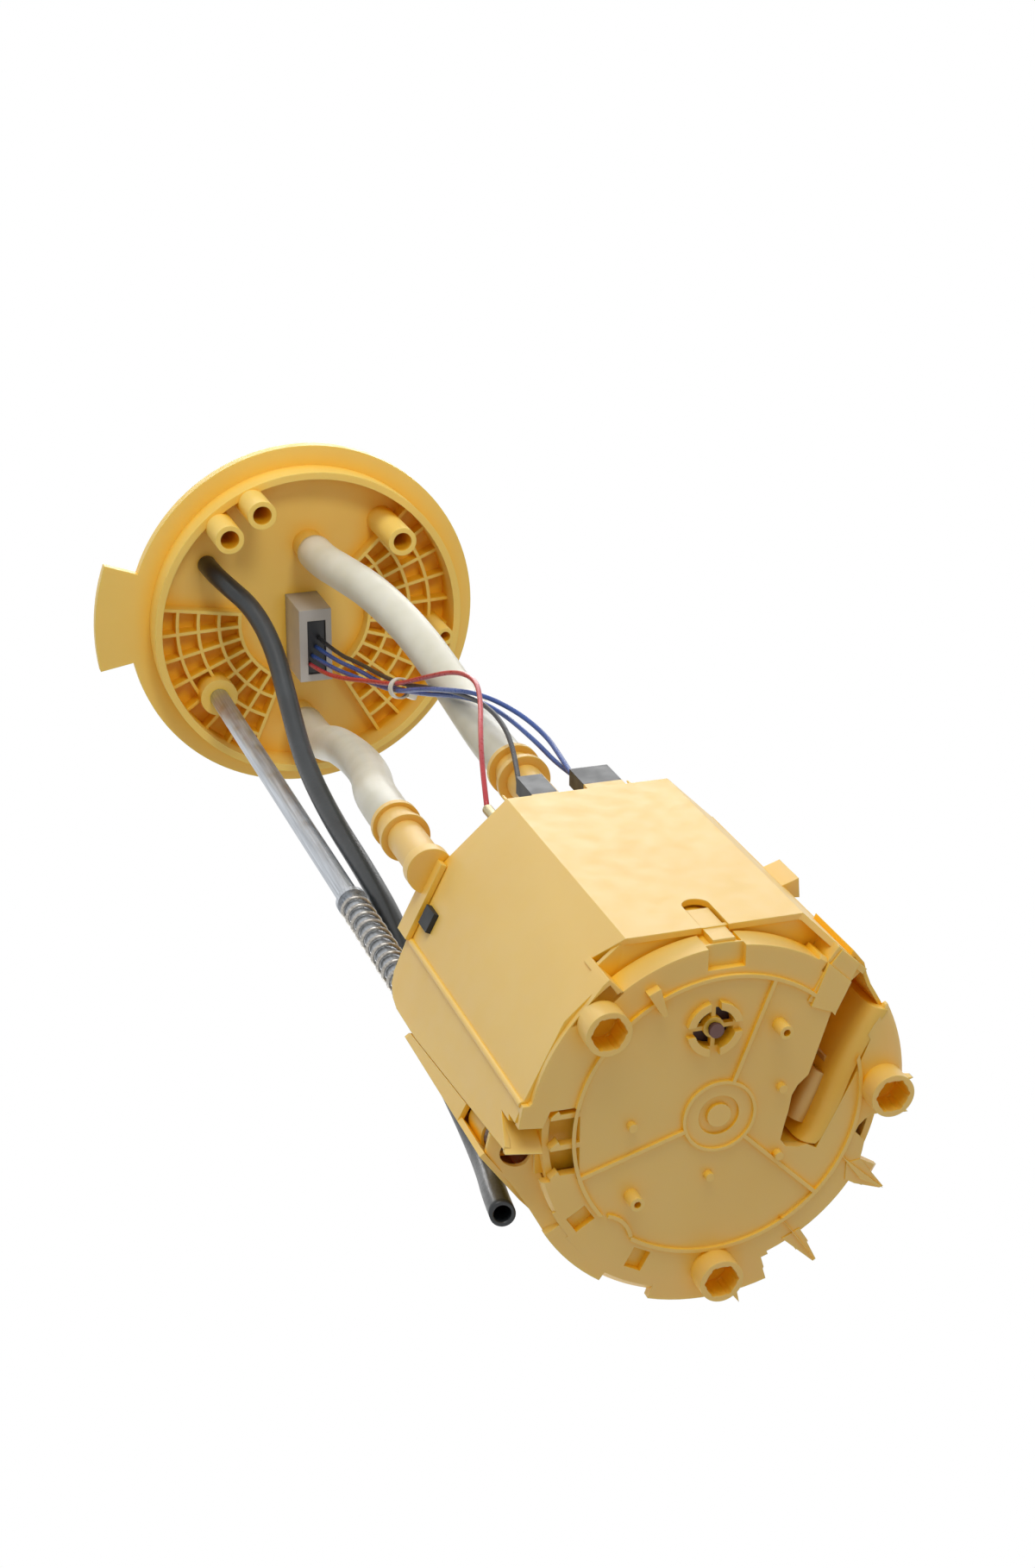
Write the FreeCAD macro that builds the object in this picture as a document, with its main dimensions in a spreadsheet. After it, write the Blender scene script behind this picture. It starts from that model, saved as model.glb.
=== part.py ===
import FreeCAD, Part
import math
import os
import re

import Sketcher

# Fuel pump module: a flange that closes the tank opening, a steel guide rod with its spring,
# and a reservoir that slides on the rod and is pushed down to the tank floor.
# Origin: centre of the flange's seating face. Up is +Z, out of the tank. Millimetres.

os.makedirs("parts", exist_ok=True)
doc = FreeCAD.newDocument("FuelPumpModule")
sizes = doc.addObject("Spreadsheet::Sheet", "Sizes")

DRIVING_SIZES = (
    ("reservoir_x", 20.1), ("reservoir_y", 21.6), ("reservoir_drop", 414.0), ("travel", 30.0),
    ("running_gap", 0.05), ("seat_gap", 0.3),
    # flange
    ("flange_radius", 75.4), ("flange_thick", 4.6), ("spigot_radius", 67.0), ("spigot_wall", 3.0),
    ("spigot_depth", 12.0), ("floor_low", 4.0), ("floor_thick", 3.5), ("tab_reach", 90.0),
    ("tab_angle", 30.0), ("tab_turn", 185.0), ("rib_thick", 1.4), ("rib_depth", 6.5),
    ("post_radius", 6.0), ("post_bore", 3.9), ("post_tip", 30.0), ("small_post_radius", 3.8),
    ("small_post_bore", 2.2), ("boss_radius", 8.0), ("boss_tip", 8.0),
    ("supply_x", 3.5), ("supply_y", -31.0), ("return_x", -2.5), ("return_y", 46.0),
    ("heater_x", -40.5), ("heater_y", -26.0), ("nipple_radius", 4.75), ("heater_nipple_radius", 3.95),
    ("nipple_height", 26.0), ("socket_long", 34.0), ("socket_wide", 18.0), ("socket_tall", 18.0),
    ("socket_wall", 1.8),
    # guide rod and spring
    ("rod_radius", 4.0), ("rod_x", -39.9), ("rod_y", 30.0), ("rod_tip", 22.0),
    ("spring_wire", 1.4), ("spring_play", 0.2), ("spring_top", 191.0), ("spring_turns", 24.0),
    ("stop_height", 2.5), ("ring_thick", 1.6),
    # base plate
    ("base_radius", 57.0), ("lip_radius", 61.0), ("base_thick", 3.2), ("rib_height", 1.2),
    ("ring_rib_radius", 46.0), ("hub_rib_radius", 11.3), ("foot_circle", 53.4), ("foot_radius", 7.0),
    ("foot_bore", 4.5), ("foot_height", 8.0), ("valve_x", -2.9), ("valve_y", -30.0),
    ("valve_port", 6.4), ("valve_guard", 8.8), ("stem_radius", 1.7),
    ("valve_lift", 1.0), ("finger_thick", 1.6),
    # reservoir
    ("cup_radius", 54.5), ("cup_wall", 2.2), ("cup_height", 112.0), ("well_roof", 46.0),
    ("shell_height", 118.0), ("shell_wall", 2.0), ("facet_front", 57.5), ("shell_low", 2.0),
    ("facet_low", 10.0), ("slot_wide", 8.6), ("slot_x", 0.9), ("slot_top", 29.0),
    ("rail_wall", 1.8), ("rail_low", 12.0), ("rail_high", 90.0), ("guide_low", 22.0),
    ("guide_high", 34.0), ("guide_boss", 7.0), ("lid_thick", 3.0), ("wing_thick", 4.7),
    # hoses
    ("hose_radius", 7.5), ("hose_wall", 1.6), ("heater_hose_radius", 4.0), ("heater_hose_wall", 1.2),
    ("wire_radius", 0.9), ("riser_radius", 6.5), ("supply_fit_x", -2.7), ("supply_fit_y", -39.1),
    ("supply_fit_top", 184.0), ("return_fit_x", -53.0), ("return_fit_y", -35.0),
    ("return_fit_top", 159.5), ("barb_length", 17.0),
    # pump
    ("pump_x", -12.0), ("pump_y", 12.0), ("pump_radius", 19.0), ("can_wall", 1.1),
    ("pump_low", 14.0), ("pump_high", 92.0), ("shaft_radius", 1.6), ("rotor_radius", 12.0),
    ("rotor_low", 36.0), ("rotor_high", 74.0), ("impeller_radius", 15.0), ("impeller_thick", 4.0),
    ("sleeve_wall", 2.2), ("cradle_wall", 2.0),
    # level sender
    ("sender_angle", 55.0), ("sender_pivot", 108.0), ("sender_wide", 22.0), ("sender_high", 34.0),
    ("sender_deep", 8.5), ("arm_wire", 1.5), ("arm_length", 72.0), ("arm_rest", -75.0),
    ("float_long", 34.0), ("float_wide", 17.0), ("float_deep", 16.0),
)
ALIASES = set(name for name, value in DRIVING_SIZES)

for row, (alias, number) in enumerate(DRIVING_SIZES, start=1):
    sizes.set("A%d" % row, alias)
    sizes.set("B%d" % row, str(number))
    sizes.setAlias("B%d" % row, alias)
doc.recompute()

sub_parts = []


def formula(text):
    """An expression with every alias spelled as a cell of the sheet."""
    return re.sub(r"[a-z_]+", lambda found: "Sizes." + found.group() if found.group() in ALIASES
                  else found.group(), str(text))


def size(name):
    return float(sizes.get(name))


def number_of(text):
    return float(sizes.evalExpression(formula(text)))


def bind(item, prop, text):
    item.setExpression(prop, formula(text))


def keep(item, label):
    item.Label = label
    sub_parts.append(item)
    return item


# Parametric helpers

def cylinder(radius, low, high, at=("0", "0")):
    item = doc.addObject("Part::Cylinder", "Cylinder")
    bind(item, "Radius", radius)
    bind(item, "Height", "(%s) - (%s)" % (high, low))
    bind(item, "Placement.Base.x", at[0])
    bind(item, "Placement.Base.y", at[1])
    bind(item, "Placement.Base.z", low)
    return item


def box(across, deep, low, high, at=("0", "0")):
    """A box centred on a point of the XY plane."""
    item = doc.addObject("Part::Box", "Box")
    bind(item, "Length", across)
    bind(item, "Width", deep)
    bind(item, "Height", "(%s) - (%s)" % (high, low))
    bind(item, "Placement.Base.x", "(%s) - (%s) / 2" % (at[0], across))
    bind(item, "Placement.Base.y", "(%s) - (%s) / 2" % (at[1], deep))
    bind(item, "Placement.Base.z", low)
    return item


def fuse(*items):
    result = doc.addObject("Part::MultiFuse", "Fuse")
    result.Shapes = list(items)
    return result


def cut(base, *tools):
    result = doc.addObject("Part::Cut", "Cut")
    result.Base = base
    result.Tool = tools[0] if len(tools) == 1 else fuse(*tools)
    return result


def tube(outer, inner, low, high, at=("0", "0")):
    return cut(cylinder(outer, low, high, at), cylinder(inner, low, high, at))


def seat_in_reservoir(item):
    """Reservoir pieces are drawn about the centre of the base plate's underside."""
    own_place = dict(item.ExpressionEngine)
    for axis, origin in (("x", "reservoir_x"), ("y", "reservoir_y"), ("z", "-reservoir_drop")):
        path = "Placement.Base." + axis
        drawn_at = own_place.get("." + path, own_place.get(path, "0"))
        item.setExpression(path, "%s + (%s)" % (formula(origin), drawn_at))
    return item


def new_body(label):
    return keep(doc.addObject("PartDesign::Body", label), label)


def new_sketch(body, role="XY_Plane", lift="0", turn="0"):
    """A sketch on one of the body's own planes. The turn is about Z."""
    sketch = body.newObject("Sketcher::SketchObject", "Sketch")
    plane = next(item for item in body.Origin.OriginFeatures if item.Role == role)
    sketch.AttachmentSupport = [(plane, "")]
    sketch.MapMode = "FlatFace"
    axis = FreeCAD.Vector(0, 1, 0) if role == "XZ_Plane" else FreeCAD.Vector(0, 0, 1)
    turned = number_of(turn)
    if turned:
        sketch.AttachmentOffset = FreeCAD.Placement(
            FreeCAD.Vector(), FreeCAD.Rotation(axis, turned))
        bind(sketch, "AttachmentOffset.Rotation.Angle", turn)
    bind(sketch, "AttachmentOffset.Base.z", lift)
    return sketch


def hold(sketch, kind, *where):
    text = where[-1]
    constraint = sketch.addConstraint(Sketcher.Constraint(kind, *where[:-1], number_of(text)))
    sketch.setExpression("Constraints[%d]" % constraint, formula(text))


def add_polygon(sketch, corners):
    first = sketch.GeometryCount
    spots = [FreeCAD.Vector(number_of(x), number_of(y), 0) for x, y in corners]
    count = len(spots)
    for index in range(count):
        line = Part.LineSegment(spots[index], spots[(index + 1) % count])
        sketch.addGeometry(line, False)
    for index in range(count):
        after = first + (index + 1) % count
        sketch.addConstraint(Sketcher.Constraint("Coincident", first + index, 2, after, 1))
    for index, (x, y) in enumerate(corners):
        hold(sketch, "DistanceX", -1, 1, first + index, 1, x)
        hold(sketch, "DistanceY", -1, 1, first + index, 1, y)


def add_rectangle(sketch, x_low, x_high, y_low, y_high):
    add_polygon(sketch, [(x_low, y_low), (x_high, y_low), (x_high, y_high), (x_low, y_high)])


def add_circle(sketch, radius, at=("0", "0")):
    centre = FreeCAD.Vector(number_of(at[0]), number_of(at[1]), 0)
    up = FreeCAD.Vector(0, 0, 1)
    index = sketch.addGeometry(Part.Circle(centre, up, number_of(radius)), False)
    hold(sketch, "Radius", index, radius)
    hold(sketch, "DistanceX", -1, 1, index, 3, at[0])
    hold(sketch, "DistanceY", -1, 1, index, 3, at[1])


def grow(body, kind, sketch, length, reverse=False):
    """A pad or pocket whose volume is compared, so that one pointing away is noticed."""
    doc.recompute()
    before = body.Shape.Volume if body.Tip else 0.0
    feature = body.newObject("PartDesign::" + kind, kind)
    feature.Profile = sketch
    bind(feature, "Length", length)
    feature.Reversed = reverse
    doc.recompute()
    change = body.Shape.Volume - before
    if (kind == "Pad" and change <= 0) or (kind == "Pocket" and change >= 0):
        raise ValueError("%s in %s changes nothing" % (kind, body.Label))
    return feature


def revolve(body, sketch, angle="360", centred=False):
    doc.recompute()
    feature = body.newObject("PartDesign::Revolution", "Revolution")
    feature.Profile = sketch
    feature.ReferenceAxis = (sketch, ["V_Axis"])
    bind(feature, "Angle", angle)
    feature.Midplane = centred
    doc.recompute()
    return feature


def turned_body(label, corners):
    """A body turned about Z from one profile of radius and height."""
    body = new_body(label)
    sketch = new_sketch(body, "XZ_Plane")
    add_polygon(sketch, corners)
    revolve(body, sketch)
    return body


def repeat_about_axis(body, feature, angle, count):
    doc.recompute()
    pattern = body.newObject("PartDesign::PolarPattern", "PolarPattern")
    pattern.Originals = [feature]
    axis = next(item for item in body.Origin.OriginFeatures if item.Role == "Z_Axis")
    pattern.Axis = (axis, [""])
    bind(pattern, "Angle", angle)
    pattern.Occurrences = count
    body.Tip = pattern
    doc.recompute()
    return pattern


# Shape helpers for walls that follow a bent line, hoses, wires and the spring

def vector(x, y, z=0.0):
    return FreeCAD.Vector(x, y, z)


def prism(points, low, high):
    corners = [vector(x, y, low) for x, y in points]
    face = Part.Face(Part.makePolygon(corners + corners[:1]))
    return face.extrude(vector(0, 0, high - low))


def offset_line(points, distance, closed=False):
    """The same bent line moved sideways, to its left for a positive distance."""
    count = len(points)
    moved = []
    for index in range(count):
        normals = []
        for start, end in ((index - 1, index), (index, index + 1)):
            if not closed and (start < 0 or end >= count):
                continue
            ax, ay = points[start % count]
            bx, by = points[end % count]
            run = math.hypot(bx - ax, by - ay)
            normals.append((-(by - ay) / run, (bx - ax) / run))
        if len(normals) == 1:
            shift = normals[0]
        else:
            (px, py), (qx, qy) = normals
            scale = 1.0 + px * qx + py * qy
            shift = ((px + qx) / scale, (py + qy) / scale)
        moved.append((points[index][0] + distance * shift[0],
                      points[index][1] + distance * shift[1]))
    return moved


def bent_wall(points, thickness, low, high):
    """A wall of even thickness to the left of a bent line."""
    inner = offset_line(points, thickness)
    return prism(list(points) + inner[::-1], low, high)


def round_bar(radius, low, high, x=0.0, y=0.0):
    return Part.makeCylinder(radius, high - low, vector(x, y, low))


def shape_part(label, shape, in_reservoir=False):
    item = doc.addObject("Part::Feature", label)
    item.Shape = shape
    if in_reservoir:
        seat = FreeCAD.Placement(
            vector(size("reservoir_x"), size("reservoir_y"), -size("reservoir_drop")),
            FreeCAD.Rotation())
        item.Placement = seat.multiply(item.Placement)
    return keep(item, label)


def rounded_path(points):
    """Straight runs joined by tangent arcs, each as large as its two runs allow."""
    spots = [vector(*point) for point in points]
    edges = []
    radii = []
    start = spots[0]
    for before, corner, after in zip(spots, spots[1:], spots[2:]):
        back = (before - corner).normalize()
        ahead = (after - corner).normalize()
        shorter = min((before - corner).Length, (after - corner).Length)
        half_turn = (math.pi - back.getAngle(ahead)) / 2
        radius = 0.45 * shorter / math.tan(half_turn)
        trim = radius * math.tan(half_turn)
        inward = (back + ahead).normalize()
        middle = corner + inward * (radius / math.cos(half_turn) - radius)
        arc_start = corner + back * trim
        arc_end = corner + ahead * trim
        edges.append(Part.LineSegment(start, arc_start).toShape())
        edges.append(Part.Arc(arc_start, middle, arc_end).toShape())
        radii.append(radius)
        start = arc_end
    edges.append(Part.LineSegment(start, spots[-1]).toShape())
    return Part.Wire(edges), min(radii)


def swept_round(points, radius):
    path, tightest = rounded_path(points)
    first = vector(*points[0])
    heading = vector(*points[1]) - first
    section = Part.Wire([Part.Circle(first, heading, radius).toShape()])
    solid = path.makePipeShell([section], True, False)
    return solid, path.Length, tightest


def hose(label, points, radius, wall):
    outside, length, tightest = swept_round(points, radius)
    inside, length, tightest = swept_round(points, radius - wall)
    solid = outside.cut(inside)
    expected = math.pi * (radius ** 2 - (radius - wall) ** 2) * length
    print("%s: length %.0f mm, tightest radius %.1f mm, volume ratio %.3f"
          % (label, length, tightest, solid.Volume / expected))
    return shape_part(label, solid)


def wire_lead(label, points):
    solid, length, tightest = swept_round(points, size("wire_radius"))
    expected = math.pi * size("wire_radius") ** 2 * length
    print("%s: length %.0f mm, tightest radius %.1f mm, volume ratio %.3f"
          % (label, length, tightest, solid.Volume / expected))
    return shape_part(label, solid)


# Plan outlines of the reservoir, about the centre of its base plate

def shell_outline():
    """Outer corners of the faceted cover, from its right end round the front to the rod channel."""
    front = -size("facet_front")
    return [(47.0, -40.0), (29.0, front), (-27.0, front), (-48.5, -38.0), (-61.0, -13.0),
            (-66.5, 0.5), (-69.2, 5.4)]


def upright_panel(start, end, corners, deep):
    """A slab across the wall from start to end. Corners are (share of its length, height)."""
    run = math.hypot(end[0] - start[0], end[1] - start[1])
    across = ((end[1] - start[1]) / run, -(end[0] - start[0]) / run)
    spots = [vector(start[0] + share * (end[0] - start[0]) - across[0] * deep,
                    start[1] + share * (end[1] - start[1]) - across[1] * deep, height)
             for share, height in corners]
    face = Part.Face(Part.makePolygon(spots + spots[:1]))
    return face.extrude(vector(across[0], across[1]) * (2 * deep))


def seam_wedge(shift=0.0):
    """What lies behind the slanted seam between the cover's end and the rod channel."""
    start, end = shell_outline()[5:7]
    wedge = upright_panel(start, end, [(-0.05, -5.0), (1.06, 88.0), (4.0, 88.0), (4.0, -5.0)], 6.0)
    wedge.translate(vector(end[0] - start[0], end[1] - start[1]).normalize() * shift)
    return wedge


def rail_outline():
    """Outer corners of the rod channel's back wall, down to where it meets the cup."""
    return [(-70.6, 8.2), (-58.2, 25.2), (-48.4, 36.8), (-43.0, 33.4)]


def well_outline():
    """The opening in the base plate that the jet pump sits in."""
    return [(35.5, -30.1), (27.7, -4.9), (21.2, 10.6), (32.7, 17.3), (43.8, -4.7), (48.6, -17.0),
            (43.0, -28.5)]


def rod_in_reservoir():
    return (size("rod_x") - size("reservoir_x"), size("rod_y") - size("reservoir_y"))


# Flange

WAFFLE_SECTORS = ((151.0, 76.0, 8), (8.0, 104.0, 11))
FLANGE_POSTS = ((-37.5, -46.7), (-23.6, -55.8), (36.0, -39.0))


def flange_plate():
    body = new_body("flange_plate")
    profile = new_sketch(body, "XZ_Plane")
    add_polygon(profile, [
        ("0", "floor_low"), ("spigot_radius - spigot_wall", "floor_low"),
        ("spigot_radius - spigot_wall", "-spigot_depth"), ("spigot_radius", "-spigot_depth"),
        ("spigot_radius", "0"), ("flange_radius", "0"), ("flange_radius", "flange_thick"),
        ("spigot_radius", "flange_thick"), ("spigot_radius - 3", "floor_low + floor_thick"),
        ("0", "floor_low + floor_thick")])
    revolve(body, profile)
    tab = new_sketch(body, "XZ_Plane", turn="tab_turn")
    add_rectangle(tab, "flange_radius - 4", "tab_reach", "0", "flange_thick - 0.6")
    revolve(body, tab, "tab_angle", centred=True)
    for middle, spread, bars in WAFFLE_SECTORS:
        arcs = new_sketch(body, "XZ_Plane", turn=middle)
        for step in range(4):
            low = "spigot_radius - spigot_wall - %d" % (9 * step + 9)
            add_rectangle(arcs, low, low + " + rib_thick", "floor_low - rib_depth", "floor_low + 1")
        revolve(body, arcs, str(spread), centred=True)
        bar = new_sketch(body, "XY_Plane", lift="floor_low + 1", turn=middle - spread / 2)
        add_rectangle(bar, "spigot_radius - spigot_wall - 36", "spigot_radius - 1",
                      "-rib_thick / 2", "rib_thick / 2")
        first = grow(body, "Pad", bar, "rib_depth + 1", reverse=True)
        repeat_about_axis(body, first, str(spread), bars)
    posts = new_sketch(body, lift="floor_low + 1")
    for x, y in FLANGE_POSTS:
        add_circle(posts, "post_radius", (str(x), str(y)))
    grow(body, "Pad", posts, "post_tip + floor_low + 1", reverse=True)
    small = new_sketch(body, lift="floor_low + 1")
    add_circle(small, "small_post_radius", ("57", "8"))
    grow(body, "Pad", small, "post_tip - 8 + floor_low + 1", reverse=True)
    boss = new_sketch(body, lift="floor_low + 1")
    add_circle(boss, "boss_radius", ("rod_x", "rod_y"))
    add_circle(boss, "boss_radius - 1.5", ("supply_x", "supply_y"))
    add_circle(boss, "boss_radius - 1.5", ("return_x", "return_y"))
    grow(body, "Pad", boss, "boss_tip + floor_low + 1", reverse=True)
    flange_top(body)
    bores = new_sketch(body, lift="-post_tip - 1")
    for x, y in FLANGE_POSTS:
        add_circle(bores, "post_bore", (str(x), str(y)))
    add_circle(bores, "small_post_bore", ("57", "8"))
    grow(body, "Pocket", bores, "post_tip + 1 + floor_low - 1", reverse=True)
    rod_bore = new_sketch(body, lift="-boss_tip - 1")
    add_circle(rod_bore, "rod_radius", ("rod_x", "rod_y"))
    grow(body, "Pocket", rod_bore, "boss_tip + 1 + floor_low + 1", reverse=True)
    return body


def flange_top(body):
    """Hose nipples and the plug socket on the outside, with their passages."""
    top = "floor_low + floor_thick"
    nipples = new_sketch(body, lift="floor_low + 1")
    add_circle(nipples, "nipple_radius", ("supply_x", "supply_y"))
    add_circle(nipples, "nipple_radius", ("return_x", "return_y"))
    add_circle(nipples, "heater_nipple_radius", ("heater_x", "heater_y"))
    grow(body, "Pad", nipples, "nipple_height + floor_thick - 1")
    walls = new_sketch(body, lift="floor_low + 1")
    add_rectangle(walls, "-socket_wide / 2", "socket_wide / 2", "-socket_long / 2 + 7",
                  "socket_long / 2 + 7")
    grow(body, "Pad", walls, "socket_tall + floor_thick - 1")
    mouth = new_sketch(body, lift=top + " + socket_tall")
    add_rectangle(mouth, "-socket_wide / 2 + socket_wall", "socket_wide / 2 - socket_wall",
                  "-socket_long / 2 + 7 + socket_wall", "socket_long / 2 + 7 - socket_wall")
    grow(body, "Pocket", mouth, "socket_tall")
    passages = new_sketch(body, lift="-boss_tip - 1")
    add_circle(passages, "nipple_radius - 1.6", ("supply_x", "supply_y"))
    add_circle(passages, "nipple_radius - 1.6", ("return_x", "return_y"))
    add_circle(passages, "heater_nipple_radius - 1.4", ("heater_x", "heater_y"))
    grow(body, "Pocket", passages, "100", reverse=True)


def connector_housing():
    """Grey inner half of the electrical feed-through, with its plug socket facing down."""
    block = box("14", "32", "-20", "floor_low", ("0", "6.5"))
    recess = box("8", "24", "-21", "-6", ("0.5", "7.5"))
    return keep(cut(block, recess), "connector_housing")


def wire_plug():
    """Black plug on the wires' upper ends."""
    block = box("7.6", "23.6", "-19", "-8", ("0.5", "7.5"))
    return keep(block, "wire_plug")


def contact_pins():
    """Pins that stand in the flange's upper socket."""
    blades = [box("0.8", "2.8", "floor_low + floor_thick", "floor_low + floor_thick + 12",
                  ("0", "%g" % (-2.0 + 6.0 * step))) for step in range(4)]
    return keep(fuse(*blades), "contact_pins")


# Guide rod and spring

def guide_rod():
    at = ("rod_x", "rod_y")
    return keep(cylinder("rod_radius", "rod_tip - reservoir_drop", "floor_low + 1", at), "guide_rod")


def spring_stop():
    """Steel collar pressed on the rod above the spring."""
    low = "spring_top - reservoir_drop"
    at = ("rod_x", "rod_y")
    outer = "rod_radius + spring_play + spring_wire"
    return keep(tube(outer, "rod_radius", low, low + " + stop_height", at), "spring_stop")


def rod_retainer():
    """Push-on ring that keeps the reservoir on the rod, inside the guide boss."""
    low = "rod_tip + 1 - reservoir_drop"
    at = ("rod_x", "rod_y")
    return keep(tube("rod_radius + 1.6", "rod_radius", low, low + " + ring_thick", at),
                "rod_retainer")


def coil_spring():
    wire = size("spring_wire")
    radius = size("rod_radius") + size("spring_play") + wire / 2
    low = size("guide_high") + wire / 2 + 0.1
    height = size("spring_top") - size("guide_high") - wire - 0.2
    turns = size("spring_turns")
    helix = Part.makeHelix(height / turns, height, radius)
    start = vector(radius, 0, 0)
    pitch_angle = math.atan2(height / turns, 2 * math.pi * radius)
    heading = vector(0, math.cos(pitch_angle), math.sin(pitch_angle))
    section = Part.Wire([Part.Circle(start, heading, wire / 2).toShape()])
    coil = Part.Wire(helix.Edges).makePipeShell([section], True, True)
    coil.translate(vector(size("rod_x"), size("rod_y"), low - size("reservoir_drop")))
    return shape_part("coil_spring", coil)


# Base plate of the reservoir

FOOT_ANGLES = (-135.8, -1.2, 90.1)
RADIAL_RIB_ANGLES = (163.0, -69.3, 44.7)
LOCATING_POSTS = ((18.2, -27.4), (-27.4, 22.4))
LOCATING_NUBS = ((-27.9, -1.5), (19.7, -6.3), (19.6, 16.6), (-2.8, 19.8))
FINGER_ROWS = (-8.8, 1.4, 11.6)
LIP_SECTORS = ((-14.8, 46.4), (91.0, 128.0))
RIM_SECTORS = ((-110.1, 29.8), (-69.2, 28.4))
SCALLOP = (-37.6, 37.7)
CATCH_WINDOWS = ((147.4, 51.2), (118.6, 51.6))
SPIKES = (((57.0, -3.4), (63.4, -2.2), (57.0, 0.2)), ((57.0, 1.6), (63.8, 3.5), (56.6, 5.0)),
          ((56.4, 6.6), (63.1, 9.7), (56.0, 9.9)), ((41.2, 21.5), (55.8, 35.2), (47.8, 30.6)),
          ((21.2, 38.7), (34.0, 57.1), (27.2, 46.8)), ((2.5, 58.5), (9.0, 67.0), (6.4, 55.0)))


def foot_centre(angle):
    return ("foot_circle * cos(%g)" % angle, "foot_circle * sin(%g)" % angle)


def base_plate():
    body = new_body("base_plate")
    seat_in_reservoir(body)
    profile = new_sketch(body, "XZ_Plane")
    add_polygon(profile, [
        ("0", "-0.6"), ("3.8", "-0.6"), ("3.8", "0.8"), ("6.5", "0.8"), ("6.5", "-0.2"),
        ("hub_rib_radius - 0.5", "-0.2"), ("hub_rib_radius - 0.5", "-rib_height"),
        ("hub_rib_radius + 0.5", "-rib_height"), ("hub_rib_radius + 0.5", "0"),
        ("ring_rib_radius - 0.6", "0"), ("ring_rib_radius - 0.6", "-rib_height"),
        ("ring_rib_radius + 0.6", "-rib_height"), ("ring_rib_radius + 0.6", "0"),
        ("base_radius - 1", "0"), ("base_radius", "1"), ("base_radius", "base_thick"),
        ("0", "base_thick")])
    revolve(body, profile)
    for middle, spread in LIP_SECTORS:
        lip = new_sketch(body, "XZ_Plane", turn=middle)
        add_polygon(lip, [("base_radius - 1", "0"), ("lip_radius - 1.5", "0.4"),
                          ("lip_radius", "1.6"), ("lip_radius", "base_thick"),
                          ("base_radius - 1", "base_thick")])
        revolve(body, lip, str(spread), centred=True)
    front_rim(body)
    for angle in RADIAL_RIB_ANGLES:
        rib = new_sketch(body, lift="1", turn=angle)
        add_rectangle(rib, "hub_rib_radius", "ring_rib_radius", "-0.6", "0.6")
        grow(body, "Pad", rib, "rib_height + 1", reverse=True)
    standing = new_sketch(body, lift="1")
    for x, y in LOCATING_POSTS:
        add_circle(standing, "2.2", (str(x), str(y)))
    grow(body, "Pad", standing, "7", reverse=True)
    nubs = new_sketch(body, lift="1")
    for x, y in LOCATING_NUBS:
        add_circle(nubs, "1.4", (str(x), str(y)))
    grow(body, "Pad", nubs, "3.4", reverse=True)
    scallop(body)
    spikes = new_sketch(body, lift="1.6")
    for corners in SPIKES:
        add_polygon(spikes, [(str(x), str(y)) for x, y in corners])
    grow(body, "Pad", spikes, "2.8", reverse=True)
    valve_seat(body)
    well = new_sketch(body, lift="-1")
    add_polygon(well, [(str(x), str(y)) for x, y in well_outline()])
    grow(body, "Pocket", well, "base_thick + 2", reverse=True)
    clip_fingers(body)
    feet(body)
    pins = new_sketch(body, lift="-7")
    for x, y in LOCATING_POSTS:
        add_circle(pins, "1.1", (str(x), str(y)))
    grow(body, "Pocket", pins, "6", reverse=True)
    return body


def front_rim(body):
    """Wall below the cover's front facet, open in the middle, and the flat pad at its right end."""
    for middle, spread in RIM_SECTORS:
        rim = new_sketch(body, "XZ_Plane", turn=middle)
        add_rectangle(rim, "cup_radius + running_gap", "base_radius", "base_thick - 1",
                      "facet_low - seat_gap")
        revolve(body, rim, str(spread), centred=True)
    notch = new_sketch(body, lift="-1")
    add_rectangle(notch, "-5.2", "6.6", "-base_radius - 1", "-48.4")
    grow(body, "Pocket", notch, "1 + base_thick - 0.8", reverse=True)
    pad = new_sketch(body, lift="1")
    add_polygon(pad, [("33.0", "-45.5"), ("43.0", "-36.0"), ("37.4", "-28.2"), ("27.9", "-32.1")])
    grow(body, "Pad", pad, "rib_height + 1", reverse=True)
    hook = new_sketch(body, lift="1")
    add_polygon(hook, [("-24.6", "-45.0"), ("-20.9", "-46.6"), ("-18.4", "-37.6"), ("-19.8", "-37.2")])
    grow(body, "Pad", hook, "4.2", reverse=True)


def scallop(body):
    """The ring rib bends inwards round a clear circle, with a window at each end of the bend."""
    x, y = SCALLOP
    clear = new_sketch(body, lift="-rib_height - 1")
    add_circle(clear, "10.3", (str(x), str(y)))
    grow(body, "Pocket", clear, "rib_height + 1", reverse=True)
    bend = new_sketch(body, lift="1")
    angles = [math.radians(-74.0 + 11.0 * step) for step in range(7)]
    outer = [("%g" % (x + 10.9 * math.cos(angle)), "%g" % (y + 10.9 * math.sin(angle)))
             for angle in angles]
    inner = [("%g" % (x + 9.7 * math.cos(angle)), "%g" % (y + 9.7 * math.sin(angle)))
             for angle in angles]
    add_polygon(bend, outer + inner[::-1])
    grow(body, "Pad", bend, "rib_height + 1", reverse=True)
    for angle, reach in CATCH_WINDOWS:
        window = new_sketch(body, lift="-1", turn=angle)
        add_rectangle(window, "%g - 3.4" % reach, "%g + 3.4" % reach, "-3", "3")
        grow(body, "Pocket", window, "1 + base_thick - 0.8", reverse=True)
    notch = new_sketch(body, lift="-1", turn="71.7")
    add_rectangle(notch, "base_radius - 1.6", "lip_radius + 1", "-1.3", "1.3")
    grow(body, "Pocket", notch, "base_thick + 2", reverse=True)
    slot = new_sketch(body, lift="-1", turn="142.4")
    add_rectangle(slot, "lip_radius - 2.9", "lip_radius - 1.2", "-6.4", "6.4")
    grow(body, "Pocket", slot, "base_thick + 2", reverse=True)


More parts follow.
